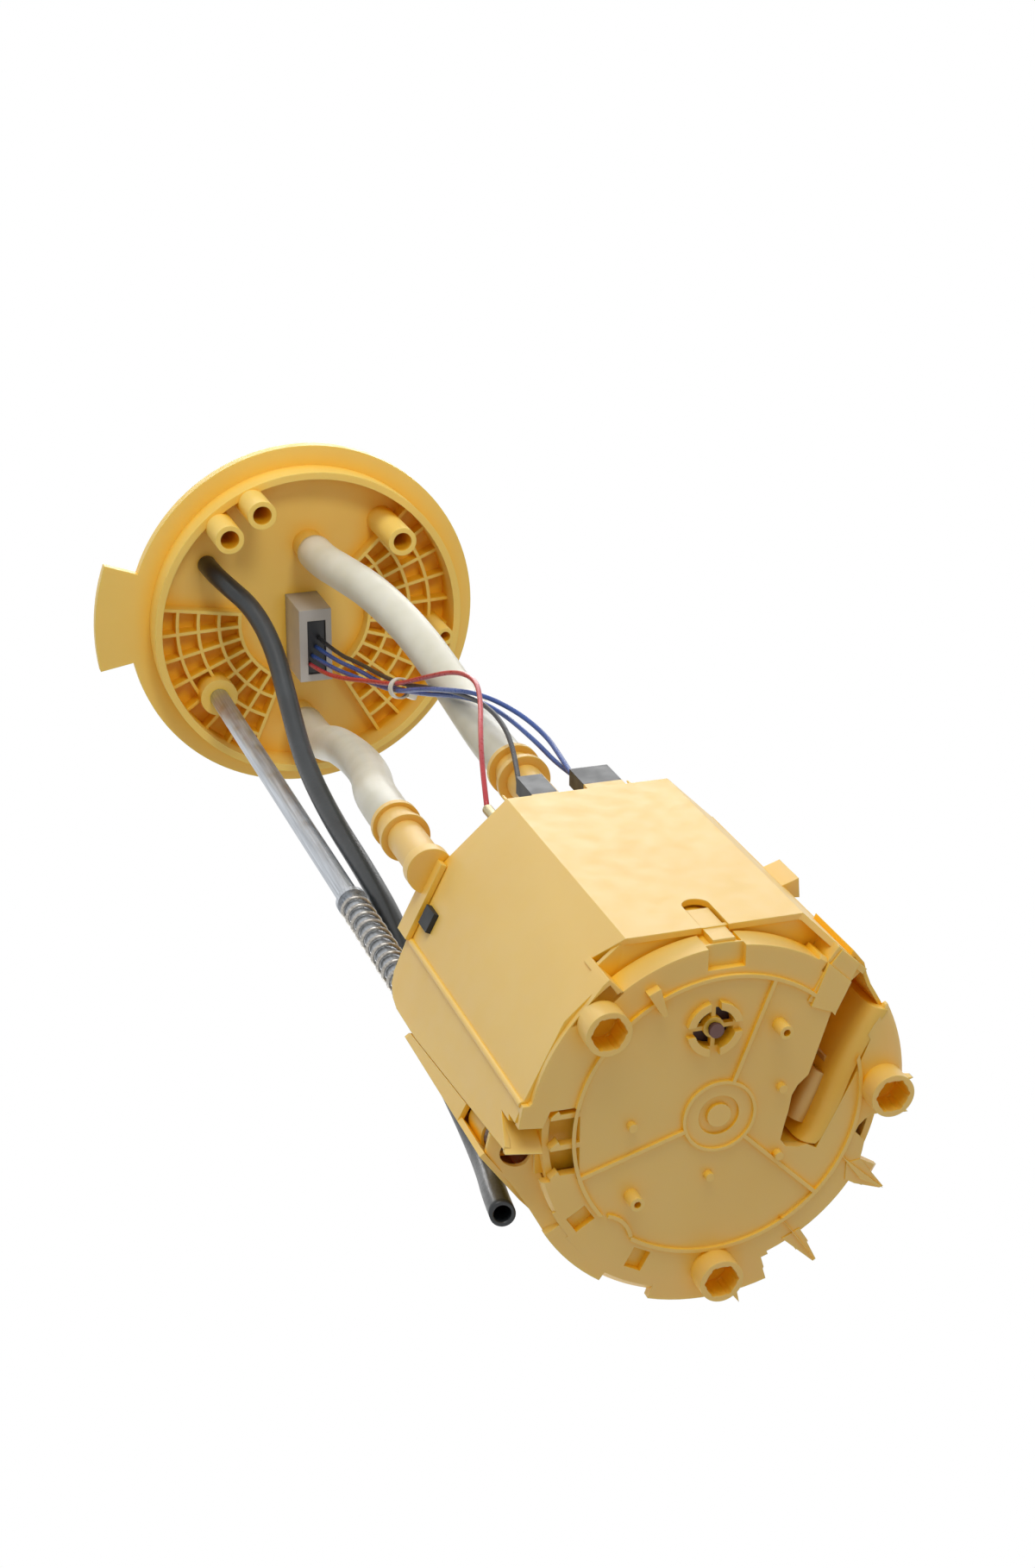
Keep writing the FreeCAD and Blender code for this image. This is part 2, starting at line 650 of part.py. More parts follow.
def feet(body):
    """Three hollow feet whose bores are fluted."""
    outside = new_sketch(body, lift="1")
    for angle in FOOT_ANGLES:
        add_circle(outside, "foot_radius", foot_centre(angle))
    grow(body, "Pad", outside, "foot_height + 1", reverse=True)
    bores = new_sketch(body, lift="-foot_height - 1")
    for angle in FOOT_ANGLES:
        add_circle(bores, "foot_bore", foot_centre(angle))
    grow(body, "Pocket", bores, "foot_height + 2", reverse=True)
    flutes = new_sketch(body, lift="-foot_height - 1")
    for angle in FOOT_ANGLES:
        x, y = foot_centre(angle)
        for step in range(6):
            along = 60 * step
            add_circle(flutes, "1.1", (x + " + foot_bore * cos(%d)" % along,
                                       y + " + foot_bore * sin(%d)" % along))
    grow(body, "Pocket", flutes, "foot_height + 1", reverse=True)


def valve_seat(body):
    """Inlet port with a spoked hub for the valve stem and a guard ring in four pieces."""
    guard = new_sketch(body, lift="1")
    add_circle(guard, "valve_guard", ("valve_x", "valve_y"))
    grow(body, "Pad", guard, "rib_height + 2", reverse=True)
    port = new_sketch(body, lift="-rib_height - 2")
    add_circle(port, "valve_port", ("valve_x", "valve_y"))
    grow(body, "Pocket", port, "base_thick + rib_height + 3", reverse=True)
    gates = new_sketch(body, lift="-rib_height - 2")
    add_rectangle(gates, "valve_x - valve_guard - 1", "valve_x + valve_guard + 1", "valve_y - 1.6",
                  "valve_y + 1.6")
    grow(body, "Pocket", gates, "rib_height + 2", reverse=True)
    more = new_sketch(body, lift="-rib_height - 2")
    add_rectangle(more, "valve_x - 1.6", "valve_x + 1.6", "valve_y - valve_guard - 1",
                  "valve_y + valve_guard + 1")
    grow(body, "Pocket", more, "rib_height + 2", reverse=True)
    spokes = new_sketch(body)
    add_rectangle(spokes, "valve_x - valve_port - 0.5", "valve_x + valve_port + 0.5",
                  "valve_y - 0.7", "valve_y + 0.7")
    grow(body, "Pad", spokes, "2")
    other = new_sketch(body)
    add_rectangle(other, "valve_x - 0.7", "valve_x + 0.7", "valve_y - valve_port - 0.5",
                  "valve_y + valve_port + 0.5")
    grow(body, "Pad", other, "2")
    hub = new_sketch(body, lift="-0.6")
    add_circle(hub, "stem_radius + 1.6", ("valve_x", "valve_y"))
    grow(body, "Pad", hub, "2.6")
    stem = new_sketch(body, lift="-2")
    add_circle(stem, "stem_radius + running_gap", ("valve_x", "valve_y"))
    grow(body, "Pocket", stem, "6", reverse=True)


def clip_fingers(body):
    """Recess at the left edge with three barbed fingers that lock the cover."""
    recess = new_sketch(body, lift="-1")
    add_rectangle(recess, "-base_radius - 3", "-43.8", "-10.4", "13.2")
    grow(body, "Pocket", recess, "base_thick + 2", reverse=True)
    fingers = new_sketch(body, lift="base_thick")
    for row in FINGER_ROWS:
        add_polygon(fingers, [("-42", "%g" % row), ("-49.8", "%g" % row),
                              ("-50.4", "%g - 1.3" % row), ("-52.8", "%g + 0.6" % row),
                              ("-52.8", "%g + finger_thick" % row),
                              ("-42", "%g + finger_thick" % row)])
    grow(body, "Pad", fingers, "base_thick", reverse=True)


def inlet_valve():
    """Mushroom valve whose stem stands in the seat's hub and whose disc covers the port."""
    at = ("valve_x", "valve_y")
    seat = "base_thick + seat_gap"
    disc = cylinder("valve_port + 1", seat, seat + " + 1", at)
    stem = cylinder("stem_radius", "-3", seat + " + 0.5", at)
    bulb = cylinder("stem_radius + 0.6", "-3", "-0.6 - valve_lift - seat_gap", at)
    return keep(seat_in_reservoir(fuse(disc, stem, bulb)), "inlet_valve")


# Reservoir walls

def reservoir_cup():
    low = size("base_thick")
    high = size("cup_height")
    radius = size("cup_radius")
    inner = radius - size("cup_wall")
    wall = round_bar(radius, low, high).cut(round_bar(inner, low - 1, high + 1))
    well = well_outline()
    lining = prism(offset_line(well, size("cup_wall"), closed=True), low, size("well_roof"))
    lining = lining.common(round_bar(radius - 0.5, low, high))
    hollow = prism(well, low - 1, size("well_roof") - size("cup_wall"))
    return shape_part("reservoir_cup", wall.fuse(lining).cut(hollow).removeSplitter(), True)


def outer_shell():
    """Faceted cover that clips round the front of the cup, with a slot for the base's tongue."""
    points = shell_outline()
    wall = size("shell_wall")
    shell = bent_wall(points, -wall, size("shell_low"), size("shell_height"))
    ax, ay = points[0]
    run = math.hypot(ax, ay)
    inward = (run - size("cup_radius") - size("running_gap")) / run
    start = (ax * (1 - inward), ay * (1 - inward))
    web = bent_wall([(ax, ay), start], wall, size("base_thick"), size("shell_height"))
    shell = shell.fuse(web)
    front = -size("facet_front")
    facet_low = size("facet_low")
    right, left = points[1][0] - 1.5, points[2][0] + 1.5
    trim = Part.makeBox(right - left, wall * 6, facet_low + 1, vector(left, front - wall, -1))
    half = size("slot_wide") / 2
    middle = size("slot_x")
    slot = Part.makeBox(2 * half, wall * 3, size("slot_top") - half, vector(middle - half, front - 1, 0))
    end = Part.makeCylinder(half, wall * 3, vector(middle, front - 1, size("slot_top") - half),
                            vector(0, 1, 0))
    shell = shell.cut(trim).cut(slot.fuse(end)).cut(seam_wedge())
    high = size("shell_height")
    corner = [(1.1, high - 17), (0.8, high - 8), (0.3, high - 2), (-0.6, high + 1), (1.1, high + 1)]
    shell = shell.cut(upright_panel(points[5], points[6], corner, 6.0))
    step = [(0.02, -1.0), (0.6, 7.5), (0.6, -1.0)]
    shell = shell.cut(upright_panel(points[5], points[4], step, 6.0))
    ridge = round_bar(1.1, size("shell_low"), high - 4.0 - size("seat_gap"), *points[4])
    catch = prism([(45.0, -41.6), (51.0, -43.6), (51.6, -36.8), (46.4, -37.4)], 60.0, 75.0)
    shell = shell.fuse(ridge).fuse(catch)
    return shape_part("outer_shell", shell.removeSplitter(), True)


def base_tongue():
    """Snap tongue that stands up behind the cover's slot."""
    item = box("slot_wide - 1.6", "2", "base_thick", "slot_top - 5", ("slot_x", "-cup_radius - 1"))
    return keep(seat_in_reservoir(item), "base_tongue")


def side_rail():
    """Back wall of the rod channel, with the guide boss that runs on the rod."""
    points = rail_outline()
    wall = bent_wall(points, -size("rail_wall"), size("rail_low"), size("rail_high"))
    x, y = rod_in_reservoir()
    boss = round_bar(size("guide_boss"), size("guide_low"), size("guide_high"), x, y)
    boss = boss.common(prism([(-80, -8), (-80, 0)] + points + [(-40, 0), (-40, -8)], 0, 120))
    start = shell_outline()[5]
    panel = bent_wall([start, points[0]], -size("rail_wall"), size("guide_high"), size("rail_high"))
    rail = wall.fuse(boss).fuse(panel.common(seam_wedge(size("seat_gap"))))
    rail = rail.cut(round_bar(size("cup_radius") + size("running_gap"), 0, size("cup_height")))
    bore = round_bar(size("rod_radius") + size("running_gap"), 0, 120, x, y)
    pocket = round_bar(size("rod_radius") + 2.0, 0, size("guide_high") - 4.0, x, y)
    rail = rail.cut(bore).cut(pocket)
    return shape_part("side_rail", rail.removeSplitter(), True)


def lid_outline():
    """The lid fills the cover as far as the rod channel."""
    inner = offset_line(shell_outline(), -size("shell_wall") - size("seat_gap"))
    (ax, ay), (bx, by) = inner[:2]
    short = 5.0 / math.hypot(bx - ax, by - ay)
    inner[0] = (ax + (bx - ax) * short, ay + (by - ay) * short)
    return inner[:-2] + [(-40.0, 0.0), (30.0, -20.0)]


PLUG_TOWERS = ((-14.0, -5.0, 16.0), (5.4, 19.0, 19.0))
LID_SPIKES = ((-24.5, -53.4, 15.0), (18.7, -53.9, 13.0))


def top_lid():
    low = size("cup_height")
    high = low + size("lid_thick")
    lid = prism(lid_outline(), low, high).fuse(round_bar(size("cup_radius"), low, high))
    outer = shell_outline()
    (ax, ay), (bx, by) = outer[3], outer[4]
    rise = size("shell_height") + size("seat_gap")
    top = rise + size("wing_thick")
    gap = size("seat_gap")
    wall = size("shell_wall")
    edge = [(ax, ay), (bx, by)]
    inner = offset_line(edge, -wall - gap)
    inner_far = offset_line(edge, -2 * wall - gap)
    near = offset_line(edge, gap)
    far = offset_line(edge, gap + wall)
    riser = prism(inner + inner_far[::-1], low, top)
    deck = prism(inner_far + far[::-1], rise, top)
    lip = prism(near + far[::-1], size("shell_height") - 4.0, top)
    x, y = size("return_fit_x"), size("return_fit_y")
    pad = round_bar(size("riser_radius") + 1.5, rise, top, x, y)
    lid = lid.fuse(riser).fuse(deck).fuse(lip).fuse(pad)
    px, py = size("pump_x"), size("pump_y")
    sleeve = size("pump_radius") + size("sleeve_wall")
    cradle = round_bar(sleeve + size("cradle_wall"), low - 78, low + 0.5, px, py)
    lid = lid.fuse(cradle).cut(round_bar(sleeve, low - 82, low, px, py))
    lid = lid.cut(round_bar(5.0, low - 1, high + 1, px, py))
    for x_low, x_high, tall in PLUG_TOWERS:
        lid = lid.fuse(Part.makeBox(x_high - x_low, 6.0, tall, vector(x_low, -52.0, high)))
    for x, y, tall in LID_SPIKES:
        lid = lid.fuse(Part.makeCone(1.6, 0.3, tall, vector(x, y, high - 0.1)))
    return shape_part("top_lid", lid.removeSplitter(), True)


def rubber_catch():
    """Black rubber block pushed through the cover's left facet."""
    (ax, ay), (bx, by) = shell_outline()[3:5]
    run = math.hypot(bx - ax, by - ay)
    along = ((bx - ax) / run, (by - ay) / run)
    middle = (ax + along[0] * 17.0, ay + along[1] * 17.0)
    edge = [(middle[0] - along[0] * 3.4, middle[1] - along[1] * 3.4),
            (middle[0] + along[0] * 3.4, middle[1] + along[1] * 3.4)]
    high = size("shell_height") - 6.0
    block = prism(edge + offset_line(edge, 1.8)[::-1], high - 8.0, high)
    return shape_part("rubber_catch", block, True)


# Hose fittings on the lid

def barbed_fitting(label, foot, top, collar, at):
    """Riser with two collars and a barbed spout that the hose slips over."""
    body = turned_body(label, [
        ("3.6", foot), ("riser_radius", foot), ("riser_radius", top + " - 13"),
        (collar, top + " - 13"), (collar, top + " - 10.6"), ("riser_radius + 0.7", top + " - 10.6"),
        ("riser_radius + 0.7", top + " - 2.4"), (collar, top + " - 2.4"), (collar, top),
        ("hose_radius - hose_wall - 0.6", top),
        ("hose_radius - hose_wall - 0.6", top + " + barb_length - 6"),
        ("hose_radius - hose_wall - running_gap", top + " + barb_length - 6"),
        ("hose_radius - hose_wall - 1.2", top + " + barb_length"), ("3.6", top + " + barb_length")])
    bind(body, "Placement.Base.x", "reservoir_x + (%s)" % at[0])
    bind(body, "Placement.Base.y", "reservoir_y + (%s)" % at[1])
    bind(body, "Placement.Base.z", "-reservoir_drop")
    return body


# Hoses and wires, routes as points about the flange's origin

SUPPLY_ROUTE = ((3.5, -31.0, -8.0), (3.5, -31.0, -20.0), (6.5, -32.3, -42.0), (12.4, -31.8, -71.0),
                (18.0, -26.8, -107.0), (19.9, -20.6, -146.0), (18.7, -17.8, -184.0),
                (17.4, -17.5, -209.0), (17.4, -17.5, -230.0))
RETURN_ROUTE = ((-2.5, 46.0, -8.0), (-2.5, 45.8, -28.0), (-4.6, 38.6, -52.0), (-8.5, 26.0, -84.0),
                (-14.0, 11.0, -138.0), (-21.5, -1.0, -184.0), (-30.5, -10.5, -219.0),
                (-32.9, -13.4, -238.0), (-32.9, -13.4, -254.5))
HEATER_ROUTE = ((-40.5, -26.0, 3.9), (-40.5, -26.0, -5.0), (-37.0, -23.2, -17.0),
                (-29.5, -17.5, -32.0), (-26.5, -8.0, -56.0), (-28.5, 6.0, -88.0),
                (-31.0, 17.0, -120.0), (-31.0, 24.0, -160.0), (-29.8, 27.4, -205.0),
                (-29.2, 32.6, -245.0), (-31.6, 43.4, -275.0), (-30.8, 57.6, -301.0),
                (-29.6, 65.2, -328.0), (-34.2, 61.4, -360.0), (-41.4, 52.4, -389.0),
                (-43.6, 50.1, -403.0))
RED_ROUTE = ((-2.5, 15.0, -19.0), (-1.7, 12.0, -40.0), (0.6, 5.4, -66.0), (2.8, -3.2, -93.0),
             (5.8, -11.5, -122.0), (8.8, -25.0, -152.0), (11.6, -37.5, -181.0),
             (12.2, -42.4, -204.0), (8.2, -41.0, -222.0), (0.6, -38.8, -245.0),
             (-5.6, -34.4, -266.0), (-9.7, -27.7, -283.9))
BLACK_ROUTE = ((1.5, 3.4, -19.0), (4.4, 4.0, -40.0), (6.6, -0.8, -66.0), (8.2, -4.8, -93.0),
               (8.6, -11.4, -122.0), (9.2, -23.2, -159.0), (12.6, -30.4, -186.0),
               (15.6, -32.8, -207.0), (16.1, -31.6, -226.0), (12.8, -29.1, -246.0),
               (7.5, -27.0, -266.0))
BLUE_ROUTE = ((-1.4, 11.2, -19.0), (1.4, 9.6, -40.0), (4.0, 4.6, -66.0), (5.6, -1.4, -93.0),
              (5.9, -8.9, -122.7), (6.2, -20.5, -152.0), (8.2, -29.2, -177.0),
              (14.6, -35.4, -200.0), (24.5, -32.2, -214.0), (29.0, -29.4, -232.0),
              (28.0, -28.5, -250.0), (26.6, -27.9, -265.9))
SECOND_BLUE_ROUTE = ((0.3, 7.4, -19.0), (3.2, 6.6, -40.0), (6.4, 2.2, -66.0), (8.2, -1.6, -94.0),
                     (9.0, -9.0, -122.7), (8.4, -18.9, -154.0), (13.2, -26.6, -178.0),
                     (18.5, -28.6, -192.0), (22.8, -28.2, -208.0), (25.3, -27.4, -232.0),
                     (27.4, -25.2, -250.0), (29.4, -25.8, -265.9))


def cable_tie():
    """Natural nylon tie round the four wires, with its head and cut tail."""
    band = Part.makeCylinder(4.2, 3.6, vector(0, 0, -1.8))
    band = band.cut(Part.makeCylinder(3.5, 4.0, vector(0, 0, -2.0)))
    head = Part.makeBox(3.4, 4.4, 4.8, vector(3.7, -2.2, -2.4))
    tail = Part.makeBox(7.0, 0.9, 2.4, vector(5.2, 1.2, -1.2))
    tie = band.fuse(head).fuse(tail)
    turn = FreeCAD.Rotation(vector(0, 0, 1), vector(5.0, -20.0, -62.0))
    tie.Placement = FreeCAD.Placement(vector(7.35, -10.05, -122.3), turn)
    return shape_part("cable_tie", tie)


# Plugs on the lid

def lid_plug(label, x_low, x_high, tower, top):
    low = "cup_height + lid_thick + %g" % tower
    middle = "%g" % ((x_low + x_high) / 2)
    item = box("%g" % (x_high - x_low), "6", low, top, (middle, "-49"))
    return keep(seat_in_reservoir(item), label)


def lead_terminal():
    """Post on the lid's front corner that takes the red wire."""
    low = "cup_height + lid_thick"
    item = cylinder("1.8", low, low + " + 14.6", ("-29.8", "-49.3"))
    return keep(seat_in_reservoir(item), "lead_terminal")


# Electric pump

def pump_at():
    return ("pump_x", "pump_y")


def pump_pieces():
    at = pump_at()
    inner = "pump_radius - can_wall"
    bore = "shaft_radius + running_gap"
    can = tube("pump_radius", inner, "pump_low", "pump_high", at)
    keep(seat_in_reservoir(can), "pump_can")
    inlet = cut(cylinder(inner, "pump_low", "pump_low + 5", at),
                cylinder(bore, "pump_low + 2", "pump_low + 6", at),
                cylinder("2.6", "pump_low - 1", "pump_low + 6", ("pump_x + 10", "pump_y")))
    keep(seat_in_reservoir(inlet), "pump_inlet_cover")
    chamber_low = "pump_low + 5 + impeller_thick + 2 * seat_gap"
    chamber = cut(cylinder(inner, chamber_low, chamber_low + " + 6", at),
                  cylinder(bore, chamber_low + " - 1", chamber_low + " + 7", at),
                  cylinder("2.2", chamber_low + " - 1", chamber_low + " + 7",
                           ("pump_x - 10", "pump_y")))
    keep(seat_in_reservoir(chamber), "pump_chamber")
    head_low = "pump_high - 10"
    head = fuse(cylinder(inner, head_low, "pump_high + 2", at),
                cylinder("4.9", "pump_high", "cup_height + lid_thick", at))
    head = cut(head, cylinder(bore, head_low + " - 1", "pump_high - 4", at),
               cylinder("2.6", "pump_high - 3", "cup_height + lid_thick + 1", at))
    keep(seat_in_reservoir(head), "pump_outlet_head")
    magnets = cut(tube(inner, "rotor_radius + 1.2", "rotor_low", "rotor_high", at),
                  box("8", "60", "rotor_low - 1", "rotor_high + 1", at))
    keep(seat_in_reservoir(magnets), "pump_magnets")
    armature = fuse(cylinder("rotor_radius", "rotor_low + 1", "rotor_high - 1", at),
                    cylinder("shaft_radius", "pump_low + 2.5", "pump_high - 4.5", at))
    keep(seat_in_reservoir(armature), "pump_armature")
    sleeve = tube("pump_radius + sleeve_wall", "pump_radius", "36", "pump_high - 4", at)
    keep(seat_in_reservoir(sleeve), "pump_sleeve")


def pump_impeller():
    """Wheel with a ring of vane slots, on the shaft between the pump's two covers."""
    x, y = size("pump_x"), size("pump_y")
    low = size("pump_low") + 5.0 + size("seat_gap")
    wheel = round_bar(size("impeller_radius"), low, low + size("impeller_thick"), x, y)
    wheel = wheel.cut(round_bar(size("shaft_radius"), low - 1, low + 6, x, y))
    count = 18
    for step in range(count):
        angle = 2 * math.pi * step / count
        reach = size("impeller_radius") - 2.2
        wheel = wheel.cut(round_bar(1.3, low - 1, low + 6, x + reach * math.cos(angle),
                                    y + reach * math.sin(angle)))
    return shape_part("pump_impeller", wheel, True)


def strainer():
    """Pleated inlet strainer that lies on the reservoir's floor below the pump."""
    item = box("30", "26", "base_thick", "pump_low", ("pump_x - 2", "pump_y + 2"))
    return keep(seat_in_reservoir(item), "inlet_strainer")


def jet_pump():
    """Small moulded jet pump clipped in the well of the base plate."""
    nozzle = Part.makeCylinder(4.2, 17.0, vector(29.5, 11.0, 10.0), vector(0.45, -0.89, 0))
    stem = Part.makeBox(5.0, 5.0, 34.0, vector(31.0, 1.0, 10.0))
    ear = Part.makeBox(1.6, 11.0, 12.0, vector(37.7, -9.0, 8.0))
    arm = Part.makeBox(6.0, 2.0, 6.0, vector(34.0, -4.0, 10.0))
    bore = Part.makeCylinder(2.2, 19.0, vector(29.0, 12.0, 10.0), vector(0.45, -0.89, 0))
    body = nozzle.fuse(stem).fuse(ear).fuse(arm).cut(bore)
    top = size("well_roof") - size("cup_wall")
    body = body.common(round_bar(60.0, 0.0, top))
    return shape_part("jet_pump", body.removeSplitter(), True)


# Level sender

def sender_frame(shape):
    """Stand a shape drawn with X along the wall, Y outwards and Z up against the cup."""
    angle = size("sender_angle")
    shape.rotate(vector(0, 0, 0), vector(0, 0, 1), angle - 90.0)
    return shape


def sender_housing():
    wide = size("sender_wide")
    high = size("sender_high")
    radius = size("cup_radius")
    deep = size("sender_deep")
    low = size("sender_pivot") - high + 8.0
    block = Part.makeBox(wide, deep + 4.0, high, vector(-wide / 2, radius - 4.0, low))
    block = block.cut(round_bar(radius + size("running_gap"), 0, 200))
    face = radius + deep
    tray = Part.makeBox(wide - 4.0, 2.0, high - 8.0, vector(-wide / 2 + 2.0, face - 1.6, low + 4.0))
    block = block.cut(tray)
    pin = Part.makeCylinder(2.0, 7.0, vector(0, face - 2.0, size("sender_pivot")), vector(0, 1, 0))
    return shape_part("sender_housing", sender_frame(block.fuse(pin).removeSplitter()), True)


def sender_card():
    """Ceramic resistor card in the housing's tray."""
    wide = size("sender_wide") - 5.0
    face = size("cup_radius") + size("sender_deep") - 1.6
    low = size("sender_pivot") - size("sender_high") + 8.0
    card = Part.makeBox(wide, 0.8, 18.0, vector(-wide / 2, face, low + 5.0))
    return shape_part("sender_card", sender_frame(card), True)


def float_arm():
    """Bent steel wire that turns on the housing's pin, with its moulded hub and wiper."""
    face = size("cup_radius") + size("sender_deep")
    pivot = size("sender_pivot")
    hub = Part.makeCylinder(4.6, 4.4, vector(0, face + 0.3, pivot), vector(0, 1, 0))
    hub = hub.cut(Part.makeCylinder(2.0 + size("running_gap"), 6.0, vector(0, face, pivot),
                                    vector(0, 1, 0)))
    angle = math.radians(size("arm_rest"))
    reach = size("arm_length")
    line = face + 2.6
    start = vector(3.4 * math.cos(angle), line, pivot + 3.4 * math.sin(angle))
    end = vector(reach * math.cos(angle), line, pivot + reach * math.sin(angle))
    wire = Part.makeCylinder(size("arm_wire"), (end - start).Length, start, end - start)
    return shape_part("float_arm", sender_frame(hub.fuse(wire).removeSplitter()), True)


def level_float():
    """Foam float that the arm's end passes into."""
    face = size("cup_radius") + size("sender_deep")
    pivot = size("sender_pivot")
    angle = math.radians(size("arm_rest"))
    reach = size("arm_length")
    long, wide, deep = size("float_long"), size("float_wide"), size("float_deep")
    block = Part.makeBox(long, deep, wide, vector(-long / 2, -deep / 2, -wide / 2))
    block = block.makeFillet(2.5, block.Edges)
    block.translate(vector(reach * math.cos(angle), face + 2.6,
                           pivot + (reach - wide / 2 + 1.0) * math.sin(angle)))
    line = face + 2.6
    hole = Part.makeCylinder(size("arm_wire"), reach, vector(0, line, pivot),
                             vector(math.cos(angle), 0, math.sin(angle)))
    return shape_part("level_float", sender_frame(block.cut(hole)), True)


flange_plate()
connector_housing()
wire_plug()
contact_pins()
guide_rod()
spring_stop()
rod_retainer()
coil_spring()
hose("supply_hose", SUPPLY_ROUTE, size("hose_radius"), size("hose_wall"))
hose("return_hose", RETURN_ROUTE, size("hose_radius"), size("hose_wall"))
hose("heater_hose", HEATER_ROUTE, size("heater_hose_radius"), size("heater_hose_wall"))
wire_lead("wire_red", RED_ROUTE)
wire_lead("wire_black", BLACK_ROUTE)
wire_lead("wire_blue", BLUE_ROUTE)
wire_lead("wire_blue_second", SECOND_BLUE_ROUTE)
cable_tie()
base_plate()
base_tongue()
inlet_valve()
reservoir_cup()
outer_shell()
side_rail()
top_lid()
rubber_catch()
barbed_fitting("supply_fitting", "cup_height + lid_thick", "supply_fit_top", "9.6",
               ("supply_fit_x", "supply_fit_y"))
barbed_fitting("return_fitting", "shell_height + seat_gap + wing_thick", "return_fit_top", "8.6",
               ("return_fit_x", "return_fit_y"))
lid_plug("pump_lead_plug", *PLUG_TOWERS[0], "147")
lid_plug("sender_lead_plug", *PLUG_TOWERS[1], "148")
lead_terminal()
pump_pieces()
pump_impeller()
strainer()
jet_pump()
sender_housing()
sender_card()
float_arm()
level_float()

doc.recompute()
for item in doc.Objects:
    if "Invalid" in item.State or "Error" in item.State:
        raise ValueError("%s failed to build" % item.Label)
for item in sub_parts:
    if item.Shape.isNull() or not item.Shape.isValid():
        raise ValueError("%s has no valid shape" % item.Label)
for item in sub_parts:
    item.Shape.exportStep("parts/%s.step" % item.Label)
print("%d sub-parts written" % len(sub_parts))
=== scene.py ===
import math

import bmesh
import bpy
from mathutils import Matrix, Vector


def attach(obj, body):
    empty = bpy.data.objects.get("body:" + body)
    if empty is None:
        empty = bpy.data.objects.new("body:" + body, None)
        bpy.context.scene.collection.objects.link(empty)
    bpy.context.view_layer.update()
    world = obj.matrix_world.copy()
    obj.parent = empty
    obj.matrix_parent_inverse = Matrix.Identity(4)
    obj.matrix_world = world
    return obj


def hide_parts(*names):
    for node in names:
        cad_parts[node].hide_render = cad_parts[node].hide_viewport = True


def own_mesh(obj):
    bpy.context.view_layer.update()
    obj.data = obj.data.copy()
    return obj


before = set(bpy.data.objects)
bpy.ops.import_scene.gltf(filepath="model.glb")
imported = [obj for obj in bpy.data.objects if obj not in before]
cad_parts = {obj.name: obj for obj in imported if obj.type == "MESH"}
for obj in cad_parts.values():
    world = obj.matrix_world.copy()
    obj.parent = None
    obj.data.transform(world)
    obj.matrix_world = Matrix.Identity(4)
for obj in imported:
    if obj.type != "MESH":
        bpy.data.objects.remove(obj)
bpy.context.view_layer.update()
print("frame loaded")

milli = 0.001
flangeBody = "flange"
hub = (20.1, 21.6, -414.0)     # Middle of the reservoir's underside, in millimetres


# Materials

# An sRGB hex code as the linear colour that Blender's sockets take
def colour(code):
    channels = [int(code[index:index + 2], 16) / 255 for index in (1, 3, 5)]
    linear = [value / 12.92 if value <= 0.04045 else ((value + 0.055) / 1.055) ** 2.4
              for value in channels]
    return (*linear, 1.0)


# Texture scale whose pattern repeats about once in that many millimetres
def perMillimetres(length):
    return 1 / (length * milli)


# Adds a node with its properties. inputs gives a constant or another node's socket for each
# input, which is named or counted.
def addNode(tree, kind, inputs=(), **properties):
    node = tree.nodes.new(kind)
    for name, value in properties.items():
        setattr(node, name, value)
    for target, value in dict(inputs).items():
        if isinstance(value, bpy.types.NodeSocket):
            tree.links.new(value, node.inputs[target])
        else:
            node.inputs[target].default_value = value
    return node


# A new material with its shader and object coordinates, for the finish functions
def startMaterial(name, baseColour, roughness):
    material = bpy.data.materials.new(name)
    material.use_nodes = True
    material.diffuse_color = baseColour
    tree = material.node_tree
    shader = tree.nodes["Principled BSDF"]
    shader.inputs["Base Color"].default_value = baseColour
    shader.inputs["Roughness"].default_value = roughness
    place = addNode(tree, "ShaderNodeTexCoord").outputs["Object"]
    return material, tree, shader, place


# Two tones that change over into each other along a pattern, from its value low to 0.7
def mottle(tree, pattern, low, light, shade):
    share = addNode(tree, "ShaderNodeMapRange", {
        "Value": pattern, "From Min": low, "From Max": 0.7}).outputs[0]
    return addNode(tree, "ShaderNodeMix", {0: share, 6: colour(light), 7: colour(shade)},
                   data_type="RGBA").outputs[2]


# Gloss that changes along a pattern, between two values of the roughness
def unevenGloss(tree, shader, pattern, smoothest, roughest):
    gloss = addNode(tree, "ShaderNodeMapRange", {
        "Value": pattern, "From Min": 0.3, "From Max": 0.7,
        "To Min": smoothest, "To Max": roughest})
    tree.links.new(gloss.outputs[0], shader.inputs["Roughness"])


# Fine relief of a depth in millimetres, with edges rounded by a radius in millimetres
def addRelief(tree, shader, height, strength, depth, radius=0.0):
    bump = addNode(tree, "ShaderNodeBump", {"Height": height, "Strength": strength,
                                            "Distance": depth * milli})
    if radius:
        bevel = addNode(tree, "ShaderNodeBevel", {"Radius": radius * milli}, samples=4)
        tree.links.new(bevel.outputs[0], bump.inputs["Normal"])
    tree.links.new(bump.outputs[0], shader.inputs["Normal"])


# Sizes of the plastic's patterns in millimetres. The real spark-eroded grain is about 0.05 mm,
# too fine to show, so it is drawn coarser.
# The recess size is how far ambient occlusion reaches for the painted shade in recesses
plasticPattern = {"cloud": 60, "flow": 7, "grain": 0.45, "recess": 11}
